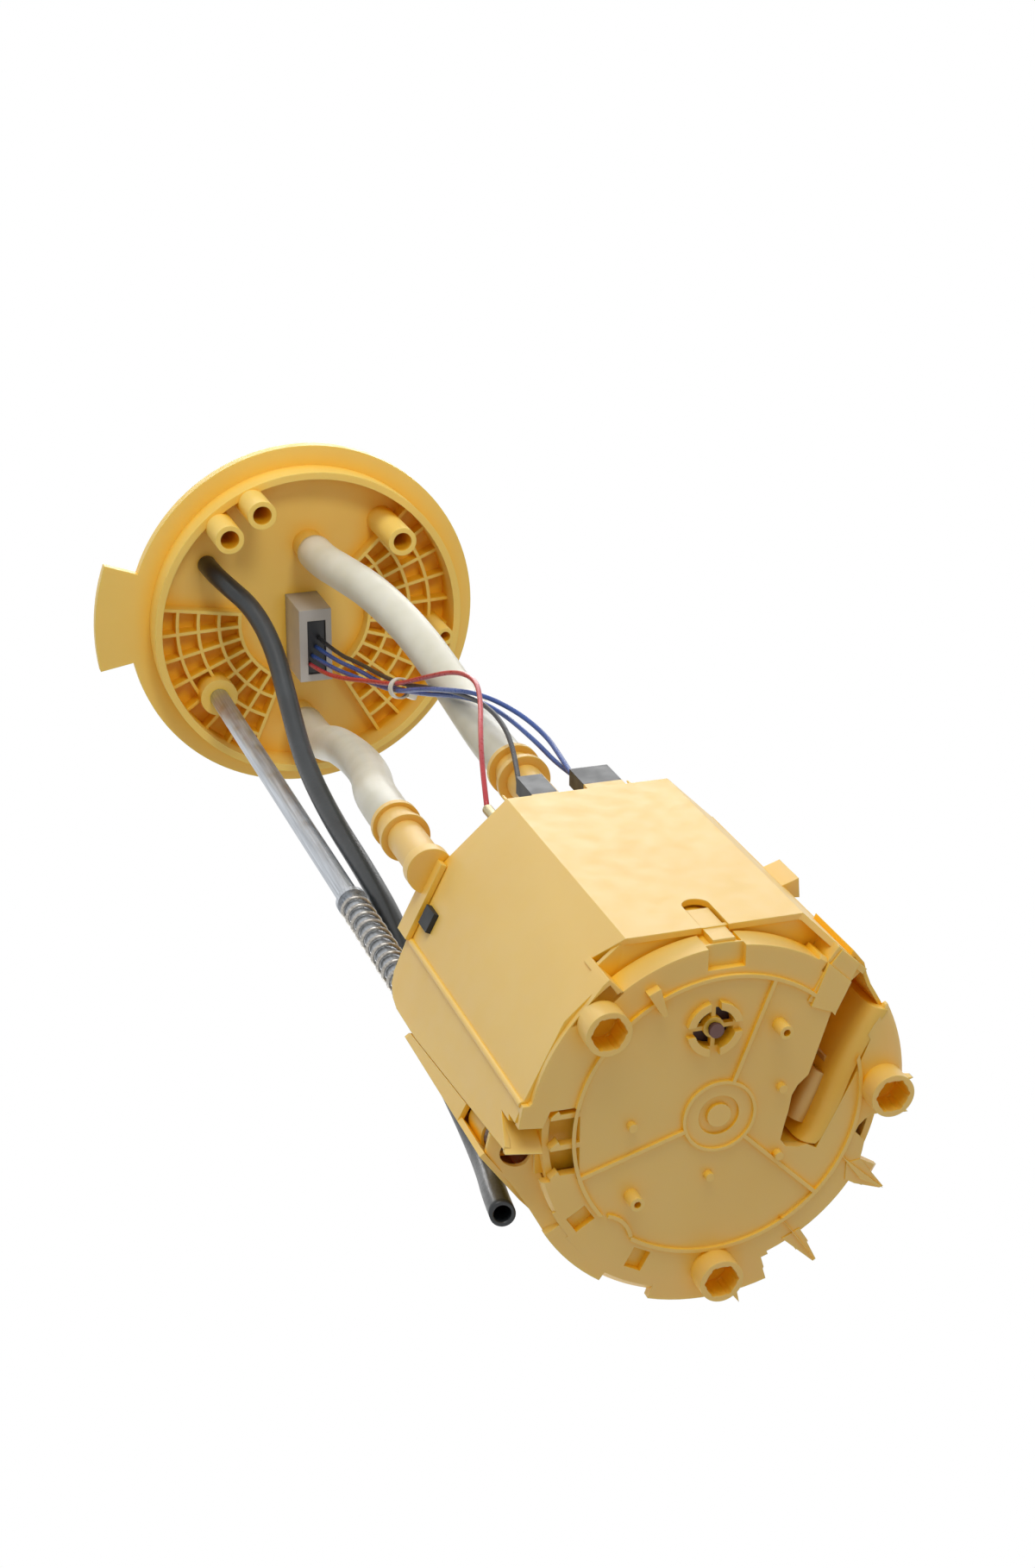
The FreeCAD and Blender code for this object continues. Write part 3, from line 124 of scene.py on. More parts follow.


# Injection-moulded plastic: cloudy colour, with the deep colour painted in as shade where ambient
# occlusion finds recesses and, from the first to the second of the given heights in metres, as
# more and more painted shade. It has faint flow marks, a fine grain and softly rounded edges.
def mouldedPlastic(name, light, shade, deep, roughness, warmth, edge=0.35, glow=3.0, paintedShadeLevels=None):
    material, tree, shader, place = startMaterial(name, colour(light), roughness)
    cloud = addNode(tree, "ShaderNodeTexNoise", {
        "Vector": place, "Scale": perMillimetres(plasticPattern["cloud"]), "Detail": 2.0})
    cloudy = mottle(tree, cloud.outputs[0], 0.35, light, shade)
    # Painted shade: the deep colour goes in where ambient occlusion finds recesses within this
    # reach
    shadeOcclusion = addNode(tree, "ShaderNodeAmbientOcclusion",
                     {"Distance": plasticPattern["recess"] * milli}, samples=8)
    recess = addNode(tree, "ShaderNodeMapRange", {
        "Value": shadeOcclusion.outputs["AO"], "From Min": 0.3, "From Max": 0.86,
        "To Min": 1.0, "To Max": 0.0}).outputs[0]
    # Painted shade that grows from the first given height to the second
    if paintedShadeLevels:
        level = addNode(tree, "ShaderNodeSeparateXYZ", {0: place}).outputs["Z"]
        paintedDepthShade = addNode(tree, "ShaderNodeMapRange", {
            "Value": level, "From Min": paintedShadeLevels[0], "From Max": paintedShadeLevels[1], "To Max": 0.7}).outputs[0]
        recess = addNode(tree, "ShaderNodeMath", {0: recess, 1: paintedDepthShade},
                         operation="MAXIMUM").outputs[0]
    paint = addNode(tree, "ShaderNodeMix", {0: recess, 6: cloudy, 7: colour(deep)},
                    data_type="RGBA")
    tree.links.new(paint.outputs[2], shader.inputs["Base Color"])
    flow = addNode(tree, "ShaderNodeTexNoise", {
        "Vector": place, "Scale": perMillimetres(plasticPattern["flow"]),
        "Detail": 2.0}).outputs[0]
    grain = addNode(tree, "ShaderNodeTexNoise", {
        "Vector": place, "Scale": perMillimetres(plasticPattern["grain"]), "Detail": 1.0})
    unevenGloss(tree, shader, flow, roughness - 0.06, roughness + 0.08)
    height = addNode(tree, "ShaderNodeMath", {0: flow, 1: grain.outputs[0]}, operation="ADD")
    addRelief(tree, shader, height.outputs[0], 0.12, 0.10, edge)
    shader.inputs["Subsurface Weight"].default_value = warmth
    shader.inputs["Subsurface Radius"].default_value = (1.0, 0.85, 0.35)
    shader.inputs["Subsurface Scale"].default_value = glow * milli
    shader.inputs["IOR"].default_value = 1.5
    return material


# Sizes of the marks and the dull patches of bare steel in millimetres. Real drawing marks are
# finer than 0.1 mm, so they are drawn coarser to show.
steelPattern = {"marks": 0.9, "dull": 12}


# Bare steel with marks that run up the part, longer than wide by stretch
def drawnSteel(name, light, shade, roughness, stretch):
    material, tree, shader, place = startMaterial(name, colour(light), roughness)
    mapping = addNode(tree, "ShaderNodeMapping", {
        "Vector": place, "Scale": (1.0, 1.0, 1 / stretch)})
    marks = addNode(tree, "ShaderNodeTexNoise", {
        "Vector": mapping.outputs[0], "Scale": perMillimetres(steelPattern["marks"]),
        "Detail": 4.0}).outputs[0]
    dull = addNode(tree, "ShaderNodeTexNoise", {
        "Vector": place, "Scale": perMillimetres(steelPattern["dull"]), "Detail": 3.0})
    tree.links.new(mottle(tree, marks, 0.3, light, shade), shader.inputs["Base Color"])
    unevenGloss(tree, shader, dull.outputs[0], roughness - 0.08, roughness + 0.14)
    shader.inputs["Metallic"].default_value = 1.0
    addRelief(tree, shader, marks, 0.18, 0.03)
    return material


# Sizes in millimetres of an extrusion's slow changes of tone and of its fine unevenness
extrudedPattern = {"slow": 18, "fine": 1.2, "glow": 4.0}


# Extruded plastic or rubber, smooth along its length
def extruded(name, light, shade, roughness, milky=0.0):
    material, tree, shader, place = startMaterial(name, colour(light), roughness)
    slow = addNode(tree, "ShaderNodeTexNoise", {
        "Vector": place, "Scale": perMillimetres(extrudedPattern["slow"]), "Detail": 2.0})
    fine = addNode(tree, "ShaderNodeTexNoise", {
        "Vector": place, "Scale": perMillimetres(extrudedPattern["fine"]),
        "Detail": 2.0}).outputs[0]
    tone = mottle(tree, slow.outputs[0], 0.35, light, shade)
    tree.links.new(tone, shader.inputs["Base Color"])
    unevenGloss(tree, shader, fine, roughness - 0.05, roughness + 0.07)
    addRelief(tree, shader, fine, 0.1, 0.05)
    shader.inputs["Subsurface Weight"].default_value = milky
    shader.inputs["Subsurface Radius"].default_value = (1.0, 0.85, 0.6)
    shader.inputs["Subsurface Scale"].default_value = extrudedPattern["glow"] * milli
    return material


# The third colour of each moulded finish is painted shade, mixed in where ambient occlusion finds
# recesses
finishes = {
    # Moulded natural nylon, yellowed by fuel: satin, lightest on its broad faces, with golden
    # painted shade in its recesses for the light that faces throw on each other
    "flangeNylon": mouldedPlastic("flangeNylon", "#F6D26E", "#F1CB66", "#F6BE1A", 0.46, 0.3,
                                  glow=2.5),
    "reservoirNylon": mouldedPlastic("reservoirNylon", "#F7D07A", "#F3CA72", "#FFC81C", 0.4, 0.3,
                                     glow=2.5),
    "fittingNylon": mouldedPlastic("fittingNylon", "#F3CC78", "#ECC26A", "#EEB41A", 0.4, 0.3,
                                   glow=2.5),
    # The same nylon in the jet pump's well, where light comes mostly through its walls, with
    # painted shade that deepens up the well between the two given heights
    "wellNylon": mouldedPlastic("wellNylon", "#F7CC62", "#F0BC48", "#FFC010", 0.4, 0.25,
                                glow=2.0, paintedShadeLevels=(-0.413, -0.402)),
    # Extruded and moulded unpigmented nylon, milky, lets a little light through
    "milkyHose": extruded("milkyHose", "#DDD9C8", "#D0CCB8", 0.36, 0.45),
    "naturalTie": mouldedPlastic("naturalTie", "#E6E2D6", "#D8D2C0", "#A89C80", 0.35, 0.4, 0.15),
    # Moulded acetal, slightly waxy and warm
    "acetal": mouldedPlastic("acetal", "#F6D58C", "#EBC678", "#C98E2E", 0.35, 0.3),
    # Extruded black rubber, greyish where light grazes it
    "heaterRubber": extruded("heaterRubber", "#2B3033", "#202426", 0.34),
    # Moulded nitrile rubber of the inlet valve, dull red brown
    "nitrileRubber": mouldedPlastic("nitrileRubber", "#7A5650", "#6A4842", "#3A2420", 0.5, 0.0),
    # Moulded black rubber, glass-filled black polyamide and grey polyester, satin to dull
    "blackRubber": mouldedPlastic("blackRubber", "#24282A", "#1A1D1F", "#0C0D0E", 0.6, 0.0),
    "blackPlastic": mouldedPlastic("blackPlastic", "#26292B", "#1C1F21", "#0D0E0F", 0.4, 0.0),
    "greyPlastic": mouldedPlastic("greyPlastic", "#C2BEB8", "#B3AEA6", "#77726A", 0.42, 0.1),
    # Closed-cell nitrile foam of the float, very dull
    "foam": mouldedPlastic("foam", "#2A2A2B", "#1F1F20", "#101010", 0.85, 0.0),
    # Drawn and ground steel, bright drawn spring wire, zinc-plated sheet steel, tinned brass:
    # their marks run up the part and stretch the highlights
    "groundSteel": drawnSteel("groundSteel", "#C9CED4", "#A3A7AC", 0.42, 40),
    "springSteel": drawnSteel("springSteel", "#BDB9B2", "#8F8B84", 0.28, 1),
    "platedSteel": drawnSteel("platedSteel", "#A9A9A4", "#8F8F8A", 0.36, 0.05),
    "tinnedBrass": drawnSteel("tinnedBrass", "#C9BE9A", "#A89B72", 0.3, 8),
    # Pressed and sintered ferrite, dark grey and dull
    "ferrite": drawnSteel("ferrite", "#3A3B3C", "#2A2B2C", 0.6, 1),
    # Fired alumina of the sender's card, white and smooth
    "ceramic": mouldedPlastic("ceramic", "#E8E6E0", "#DCD9D0", "#A8A498", 0.3, 0.1),
    # Extruded wire insulation with the slight gloss of new plastic
    "redWire": extruded("redWire", "#C8323A", "#B02A32", 0.3, 0.05),
    "blackWire": extruded("blackWire", "#2A2A2C", "#1E1E20", 0.3),
    "blueWire": extruded("blueWire", "#3C5CA6", "#304C90", 0.3, 0.05),
}

nodeFinish = {
    "flangeNylon": ["flange_plate"],
    "reservoirNylon": ["base_plate", "base_tongue", "reservoir_cup", "outer_shell", "side_rail",
                       "top_lid", "sender_housing"],
    "fittingNylon": ["supply_fitting", "return_fitting"],
    "acetal": ["jet_pump", "pump_impeller", "inlet_strainer"],
    "blackPlastic": ["wire_plug", "pump_lead_plug", "sender_lead_plug", "pump_chamber",
                     "pump_inlet_cover", "pump_outlet_head"],
    "greyPlastic": ["connector_housing"],
    "blackRubber": ["rubber_catch", "pump_sleeve"],
    "nitrileRubber": ["inlet_valve"],
    "groundSteel": ["guide_rod", "spring_stop", "rod_retainer", "float_arm"],
    "platedSteel": ["pump_can"],
    "tinnedBrass": ["contact_pins", "lead_terminal"],
    "ferrite": ["pump_magnets", "pump_armature"],
    "ceramic": ["sender_card"],
    "foam": ["level_float"],
    "naturalTie": ["cable_tie"],
}

for finishName, nodeNames in nodeFinish.items():
    for nodeName in nodeNames:
        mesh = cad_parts[nodeName].data
        mesh.materials.clear()
        mesh.materials.append(finishes[finishName])
print("finishes on the carried-over nodes")


# Objects and meshes

def linkedObject(name, data):
    thing = bpy.data.objects.new(name, data)
    bpy.context.scene.collection.objects.link(thing)
    return thing


def newObject(name, mesh, finish):
    mesh.materials.clear()
    mesh.materials.append(finishes[finish])
    return linkedObject(name, mesh)


# The mesh that an object's curve or modifiers give
def evaluatedMesh(source):
    bpy.context.view_layer.update()
    graph = bpy.context.evaluated_depsgraph_get()
    return bpy.data.meshes.new_from_object(source.evaluated_get(graph))


# The smooth line of a hose or wire, read from the NURBS spline through its route
def routeLine(points):
    curve = bpy.data.curves.new("route", "CURVE")
    curve.dimensions = "3D"
    spline = curve.splines.new("NURBS")
    spline.points.add(len(points) - 1)
    for point, (x, y, z) in zip(spline.points, points):
        point.co = (x * milli, y * milli, z * milli, 1)
    spline.order_u = 3
    spline.use_endpoint_u = True
    spline.resolution_u = 10
    holder = linkedObject("route", curve)
    mesh = evaluatedMesh(holder)
    line = [vertex.co.copy() for vertex in mesh.vertices]
    bpy.data.objects.remove(holder)
    bpy.data.curves.remove(curve)
    bpy.data.meshes.remove(mesh)
    return line


# A pair of side directions at each point of a line, turned as little as possible
def framesAlong(line):
    headings = []
    for index in range(len(line)):
        ahead = line[min(index + 1, len(line) - 1)] - line[max(index - 1, 0)]
        headings.append(ahead.normalized())
    side = headings[0].orthogonal().normalized()
    frames = []
    for index, heading in enumerate(headings):
        if index:
            side = headings[index - 1].rotation_difference(heading) @ side
        side = (side - heading * side.dot(heading)).normalized()
        frames.append((side, heading.cross(side)))
    return frames


# A skin through rings round a line, one layer for each radius: a solid wire has one, and a
# hollow hose has an outer and an inner layer that join at both ends.
def sweep(name, line, finish, radii, around):
    builder = bmesh.new()
    frames = framesAlong(line)
    order = list(range(len(line)))
    rings = []
    for radius in radii:
        for index in order:
            first, second = frames[index]
            ring = []
            for step in range(around):
                angle = 2 * math.pi * step / around
                offset = first * math.cos(angle) + second * math.sin(angle)
                ring.append(builder.verts.new(line[index] + offset * (radius * milli)))
            rings.append(ring)
        order.reverse()
    hollow = len(radii) > 1
    if not hollow:
        builder.faces.new(rings[0][::-1])
        builder.faces.new(rings[-1])
    for near, far in zip(rings, rings[1:] + (rings[:1] if hollow else [])):
        for step in range(around):
            after = (step + 1) % around
            face = builder.faces.new((near[step], near[after], far[after], far[step]))
            face.smooth = True
    bmesh.ops.recalc_face_normals(builder, faces=builder.faces)
    mesh = bpy.data.meshes.new(name)
    builder.to_mesh(mesh)
    builder.free()
    return newObject(name, mesh, finish)


# The piece rides on the flange, with a mesh of its own
def shorten(piece):
    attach(piece, flangeBody)
    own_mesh(piece)


# Forms for the reservoir's mouldings. Each is a row of rings with the same number of points, in
# millimetres from the middle of the reservoir's underside, and z is the height above it.
add = "UNION"
cut = "DIFFERENCE"
circleSteps = 32
ringStep = 3           # Degrees between the points of a part of a ring
sharpAngle = 32        # Degrees between two faces that meet in a sharp edge
mergeDistance = 0.001  # Millimetres between points of a CAD node that are one


def upright(points, low, high):
    return ([(x, y, low) for x, y in points], [(x, y, high) for x, y in points])


# A slab across a wall from start to end, with corners of (share of its length, height)
def across(start, end, corners, deep):
    run = math.hypot(end[0] - start[0], end[1] - start[1])
    side = ((end[1] - start[1]) / run * deep, -(end[0] - start[0]) / run * deep)
    spots = [(start[0] + share * (end[0] - start[0]), start[1] + share * (end[1] - start[1]), high)
             for share, high in corners]
    return ([(x - side[0], y - side[1], z) for x, y, z in spots],
            [(x + side[0], y + side[1], z) for x, y, z in spots])


# A piece of a flat ring between two angles in degrees
def ringPart(inner, outer, first, last, low, high):
    steps = max(2, int(abs(last - first) / ringStep))
    angles = [math.radians(first + (last - first) * step / steps) for step in range(steps + 1)]
    outline = [(outer * math.cos(angle), outer * math.sin(angle)) for angle in angles]
    outline += [(inner * math.cos(angle), inner * math.sin(angle)) for angle in reversed(angles)]
    return upright(outline, low, high)


def circle(x, y, radius, low, high):
    angles = [2 * math.pi * step / circleSteps for step in range(circleSteps)]
    return upright([(x + radius * math.cos(angle), y + radius * math.sin(angle))
                    for angle in angles], low, high)


# A closed outline moved outwards by a distance
def grown(points, distance):
    area = sum(x * v - u * y for (x, y), (u, v) in zip(points, points[1:] + points[:1]))
    sign = 1 if area > 0 else -1
    moved = []
    for index, spot in enumerate(points):
        before, here, after = (Vector(points[index - 1]), Vector(spot),
                               Vector(points[(index + 1) % len(points)]))
        first, second = (here - before).normalized(), (after - here).normalized()
        miter = Vector((first.y, -first.x)) + Vector((second.y, -second.x))
        shift = 2 * sign * distance / max(miter.length_squared, 1.0)
        moved.append(tuple(here + miter * shift))
    return moved


# A closed mesh through the rings of a form, placed in the frame
def formMesh(rings):
    builder = bmesh.new()
    loops = []
    for ring in rings:
        spots = [[(value + shift) * milli for value, shift in zip(point, hub)] for point in ring]
        loops.append([builder.verts.new(spot) for spot in spots])
    builder.faces.new(loops[0])
    builder.faces.new(loops[-1])
    for near, far in zip(loops, loops[1:]):
        for index in range(len(near)):
            after = (index + 1) % len(near)
            builder.faces.new((near[index], near[after], far[after], far[index]))
    bmesh.ops.triangulate(builder, faces=builder.faces)
    bmesh.ops.recalc_face_normals(builder, faces=builder.faces)
    mesh = bpy.data.meshes.new("form")
    builder.to_mesh(mesh)
    builder.free()
    return mesh


# A CAD node's mesh with its doubled points merged, without the normals that it came with
def mergedMesh(name, node):
    builder = bmesh.new()
    builder.from_mesh(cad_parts[node].data)
    bmesh.ops.remove_doubles(builder, verts=builder.verts, dist=mergeDistance * milli)
    builder.verts.index_update()
    mesh = bpy.data.meshes.new(name)
    mesh.from_pydata([vertex.co.copy() for vertex in builder.verts], [],
                     [[vertex.index for vertex in face.verts] for face in builder.faces])
    builder.free()
    return mesh


# A mesh with forms added to it and cut from it, in the order of its settings
def moulding(name, mesh, settings, finish="reservoirNylon"):
    piece = newObject(name, mesh, finish)
    tools = []
    for operation, forms in settings.values():
        for form in forms:
            tool = linkedObject("form", formMesh(form))
            tools.append(tool)
            modifier = piece.modifiers.new("form", "BOOLEAN")
            modifier.operation = operation
            modifier.solver = "EXACT"
            modifier.object = tool
    result = evaluatedMesh(piece)
    piece.modifiers.clear()
    piece.data = result
    result.shade_smooth()
    result.set_sharp_from_angle(angle=math.radians(sharpAngle))
    for tool in tools:
        bpy.data.objects.remove(tool)
    print(name, len(result.polygons))
    return piece


# The reservoir's mouldings

# Opening of the jet pump's well, from the flat plate beside it round to the outer wall
wellEdge = [(43.2, -44.0), (36.2, -29.1), (33.3, -21.2), (30.4, -13.5), (28.7, -8.5), (25.4, -5.6),
            (23.6, -2.4), (22.8, 2.8), (21.6, 7.6), (20.7, 12.3), (22.5, 14.9), (26.6, 15.9),
            (31.0, 15.4), (34.2, 12.5), (36.6, 7.0), (38.7, 1.5), (41.6, -6.5), (45.4, -14.6),
            (49.2, -21.5)]
feetRadius = 53.4
feetAngles = (-135.8, -1.2, 90.1)
feetPlaces = [(feetRadius * math.cos(math.radians(angle)),
               feetRadius * math.sin(math.radians(angle))) for angle in feetAngles]

baseSettings = {
    "frontTrim": (cut, [ringPart(55.6, 59.5, -125.0, -57.0, -1.0, 10.5)]),
    "skirt": (add, [ringPart(55.5, 60.2, -126.0, -167.4, 0.0, 3.0)]),
    "stepPlate": (add, [upright([(-54.0, -16.0), (-57.6, -14.9), (-59.3, -13.3), (-61.4, -13.4),
                                 (-62.7, -6.3), (-55.3, -5.4), (-52.8, -10.9)], 0.0, 3.0)]),
    "ramp": (add, [([(-62.9, -6.3, 12.5), (-55.0, -6.3, 12.5), (-55.0, 3.4, 0.3),
                     (-66.6, 1.6, 0.3)],
                    [(-62.9, -6.3, 14.5), (-55.0, -6.3, 14.5), (-55.0, 3.4, 2.3),
                     (-66.6, 1.6, 2.3)])]),
    "webPlate": (add, [upright([(37.4, -49.0), (43.2, -43.6), (36.2, -29.1), (27.0, -33.8),
                                (31.8, -42.4)], -0.6, 3.0)]),
    "wellCut": (cut, [upright(wellEdge + [(53.6, -27.4), (64.0, -31.0), (62.0, -50.0)],
                              -3.0, 4.5)]),
    "sideNotch": (cut, [upright([(70.0, 9.6), (51.5, 9.0), (48.6, 10.2), (46.6, 12.0),
                                 (45.6, 14.2), (48.9, 17.8), (48.4, 21.0), (47.8, 23.9),
                                 (70.0, 38.0)], -3.0, 4.5)]),
    "edgeTrims": (cut, [ringPart(54.2, 72.0, 34.6, 57.6, -2.0, 4.0),
                        ringPart(54.2, 72.0, 62.0, 70.6, -2.0, 4.0)]),
    "lipEnd": (cut, [ringPart(57.3, 63.0, 145.0, 157.0, -1.0, 3.9)]),
    "lips": (add, [ringPart(56.0, 63.8, 73.4, 109.0, 0.3, 3.2),
                   ringPart(56.0, 62.5, 126.0, 150.0, 0.3, 3.2)]),
    "prongs": (add, [upright([(43.0, 24.4), (47.8, 23.9), (56.1, 35.0), (54.9, 35.4),
                              (46.2, 32.2), (42.9, 30.1)], -0.4, 2.6),
                     upright([(22.8, 47.4), (28.6, 44.8), (34.6, 57.0), (33.6, 57.6)],
                             -0.4, 2.6)]),
    "slotFloor": (add, [ringPart(56.0, 61.6, 134.0, 145.5, 2.9, 4.6)]),
    "recessFloor": (add, [upright([(-55.4, -10.8), (-43.2, -10.8), (-43.2, 13.6),
                                   (-55.4, 13.6)], 6.5, 8.0)]),
    "footBores": (cut, [circle(x, y, 5.15, -9.0, 1.0) for x, y in feetPlaces]),
}

basePlate = moulding("basePlateMoulded", mergedMesh("basePlateMoulded", "base_plate"),
                     baseSettings)
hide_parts("base_plate")
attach(basePlate, "reservoir")

# Corners of the faceted cover from its right end round the front to its left end
coverCorners = [(47.0, -40.0), (29.0, -57.5), (-27.0, -57.5), (-48.5, -38.0), (-61.0, -13.0),
                (-66.5, 0.5)]

coverSettings = {
    "leftTrim": (cut, [across(coverCorners[2], coverCorners[3], [
        (-0.12, -1.0), (-0.12, 10.0), (0.0, 10.0), (0.42, 16.0), (0.42, -1.0)], 6.0)]),
    "rightTrim": (cut, [across(coverCorners[1], coverCorners[0], [
        (-0.12, -1.0), (-0.12, 10.0), (0.0, 10.0), (0.47, 2.6), (0.47, -1.0)], 6.0)]),
    "step": (cut, [across(coverCorners[4], coverCorners[5], [
        (0.5, -1.0), (0.5, 12.5), (1.0, 0.8), (1.0, -1.0)], 5.0)]),
    "leftWall": (add, [upright([(-37.4, -48.9), (-35.6, -50.4), (-31.0, -45.6),
                                (-32.6, -44.2)], 0.0, 16.4)]),
    "leftFill": (add, [upright([(-37.4, -48.9), (-32.6, -44.2), (-38.0, -40.0),
                                (-47.0, -37.0)], 0.0, 10.0)]),
    "rightWall": (add, [upright([(36.4, -50.0), (38.0, -48.6), (32.6, -41.8),
                                 (31.0, -42.9)], 0.0, 14.0)]),
    "ledge": (add, [upright([(-40.0, -45.0), (-35.6, -49.2), (-26.6, -56.8), (28.6, -56.8),
                             (38.0, -47.8), (42.5, -43.4), (36.0, -36.0), (-32.0, -36.0)],
                            11.0, 12.6)]),
}

cover = moulding("coverMoulded", mergedMesh("coverMoulded", "outer_shell"), coverSettings)
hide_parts("outer_shell")
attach(cover, "reservoir")

wellOutline = wellEdge + [(52.2, -26.6), (50.2, -30.1), (48.2, -33.5), (46.6, -37.4),
                          (45.6, -41.0)]
cupSettings = {"room": (cut, [upright(grown(wellOutline, 1.3), -1.0, 46.2)])}

cup = moulding("cupMoulded", mergedMesh("cupMoulded", "reservoir_cup"), cupSettings)
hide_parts("reservoir_cup")
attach(cup, "reservoir")

# The lining stands in the cup's room with a little clearance. Its outer wall is rounded over
# into the opening, by one section that is carried along the wall.
slopeEdge = [(31.0, 15.6), (34.4, 12.7), (36.8, 7.2), (38.9, 1.6), (41.8, -6.4), (45.6, -14.5),
             (49.4, -21.4), (52.6, -26.6)]
slopeSection = [(0.0, 0.1), (-1.5, 0.5), (-2.8, 1.6), (-3.7, 3.4), (-4.0, 6.0), (-4.0, 43.0),
                (1.4, 43.0), (1.4, 0.1)]
slopeLean = 0.25       # Share of a section's reach that also goes across the wall
liningBlock = upright(grown(wellOutline, 1.2), 3.4, 30.0)
liningSettings = {
    "well": (cut, [upright(wellOutline, -1.0, 44.0)]),
    "slope": (add, [[[(x + side, y + slopeLean * side, high) for side, high in slopeSection]
                     for x, y in slopeEdge]]),
}

lining = moulding("wellLining", formMesh(liningBlock), liningSettings, "wellNylon")
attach(lining, "reservoir")

# The floor that closes the rod channel and runs out into the base's lip. Each row gives an angle
# in degrees, how far out the floor reaches there and its height at that edge.
channelRows = [(178.5, 67.0, 13.0), (173.4, 68.8, 13.0), (168.0, 66.0, 12.4), (162.0, 63.6, 11.0),
               (156.6, 62.4, 8.5), (152.0, 62.2, 5.4), (148.0, 62.4, 2.8), (144.5, 62.5, 1.0)]
channelFloor = {"near": 55.0, "drop": 3.5, "lowest": 0.4, "thick": 1.6}


def channelRings(settings):
    rings = []
    for angle, reach, height in channelRows:
        cosine, sine = math.cos(math.radians(angle)), math.sin(math.radians(angle))
        low = max(settings["lowest"], height - settings["drop"])
        corners = [(settings["near"], low), (reach, height), (reach, height + settings["thick"]),
                   (settings["near"], low + settings["thick"])]
        rings.append([(out * cosine, out * sine, level) for out, level in corners])
    return rings


# The rod's end passes through the hole when the reservoir slides up
channelSettings = {
    "floor": (add, [channelRings(channelFloor)]),
    "rodHole": (cut, [circle(-60.0, 8.4, 4.4, -10.0, 21.0)]),
}

channel = moulding("channelMoulded", mergedMesh("channelMoulded", "side_rail"), channelSettings)
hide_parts("side_rail")
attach(channel, "reservoir")
print("moulded walls")


# Hoses, wires, spring and tie

hoseSettings = {
    "supplyHose": {
        "node": "supply_hose", "slot": "natural_nylon", "finish": "milkyHose",
        "radius": 7.5, "wall": 1.6, "around": 48,
        "route": [(3.5, -31.0, -8.0), (3.5, -31.0, -20.0), (6.5, -32.3, -42.0),
                  (12.4, -31.8, -71.0), (18.0, -26.8, -107.0), (19.9, -20.6, -146.0),
                  (18.7, -17.8, -184.0), (17.4, -17.5, -209.0), (17.4, -17.5, -230.0)]},
    "returnHose": {
        "node": "return_hose", "slot": "natural_nylon", "finish": "milkyHose",
        "radius": 7.5, "wall": 1.6, "around": 48,
        "route": [(-2.5, 46.0, -8.0), (-2.5, 45.8, -28.0), (-4.6, 38.6, -52.0),
                  (-8.5, 26.0, -84.0), (-14.0, 11.0, -138.0), (-21.5, -1.0, -184.0),
                  (-30.5, -10.5, -219.0), (-32.9, -13.4, -238.0), (-32.9, -13.4, -254.5)]},
    "heaterHose": {
        "node": "heater_hose", "slot": "black_polyamide", "finish": "heaterRubber",
        "radius": 4.0, "wall": 1.2, "around": 32,
        "route": [(-40.5, -26.0, 3.9), (-40.5, -26.0, -5.0), (-37.0, -23.2, -17.0),
                  (-29.5, -17.5, -32.0), (-26.5, -8.0, -56.0), (-28.5, 6.0, -88.0),
                  (-31.0, 17.0, -120.0), (-31.0, 24.0, -160.0), (-29.8, 27.4, -205.0),
                  (-29.2, 32.6, -245.0), (-31.6, 43.4, -275.0), (-30.8, 57.6, -301.0),
                  (-29.6, 65.2, -328.0), (-34.2, 61.4, -360.0), (-41.4, 52.4, -389.0),
                  (-43.6, 50.1, -403.0)]},
}

for pieceName, settings in hoseSettings.items():
    hose = sweep(pieceName, routeLine(settings["route"]), settings["finish"],
                 (settings["radius"], settings["radius"] - settings["wall"]), settings["around"])
    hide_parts(settings["node"])
    shorten(hose)
print("hoses")

wireRadius = 0.9
wireAround = 20
wireSettings = {
    "redWire": {
        "node": "wire_red", "finish": "redWire", "slot": "red_insulation",
        "route": [(-2.5, 15.0, -19.0), (-1.7, 12.0, -40.0), (0.6, 5.4, -66.0), (2.8, -3.2, -93.0),
                  (5.8, -11.5, -122.0), (8.8, -25.0, -152.0), (11.6, -37.5, -181.0),
                  (12.2, -42.4, -204.0), (8.2, -41.0, -222.0), (0.6, -38.8, -245.0),
                  (-5.6, -34.4, -266.0), (-9.7, -27.7, -283.9)]},
    "blackWire": {
        "node": "wire_black", "finish": "blackWire", "slot": "black_insulation",
        "route": [(1.5, 3.4, -19.0), (4.4, 4.0, -40.0), (6.6, -0.8, -66.0), (8.2, -4.8, -93.0),
                  (8.6, -11.4, -122.0), (9.2, -23.2, -159.0), (12.6, -30.4, -186.0),
                  (15.6, -32.8, -207.0), (16.1, -31.6, -226.0), (12.8, -29.1, -246.0),
                  (7.5, -27.0, -266.0)]},
    "blueWire": {
        "node": "wire_blue", "finish": "blueWire", "slot": "blue_insulation",
        "route": [(-1.4, 11.2, -19.0), (1.4, 9.6, -40.0), (4.0, 4.6, -66.0), (5.6, -1.4, -93.0),
                  (5.9, -8.9, -122.7), (6.2, -20.5, -152.0), (8.2, -29.2, -177.0),
                  (14.6, -35.4, -200.0), (24.5, -32.2, -214.0), (29.0, -29.4, -232.0),
                  (28.0, -28.5, -250.0), (26.6, -27.9, -265.9)]},
    "blueWireSecond": {
        "node": "wire_blue_second", "finish": "blueWire", "slot": "blue_insulation",
        "route": [(0.3, 7.4, -19.0), (3.2, 6.6, -40.0), (6.4, 2.2, -66.0), (8.2, -1.6, -94.0),
                  (9.0, -9.0, -122.7), (8.4, -18.9, -154.0), (13.2, -26.6, -178.0),
                  (18.5, -28.6, -192.0), (22.8, -28.2, -208.0), (25.3, -27.4, -232.0),
                  (27.4, -25.2, -250.0), (29.4, -25.8, -265.9)]},
}

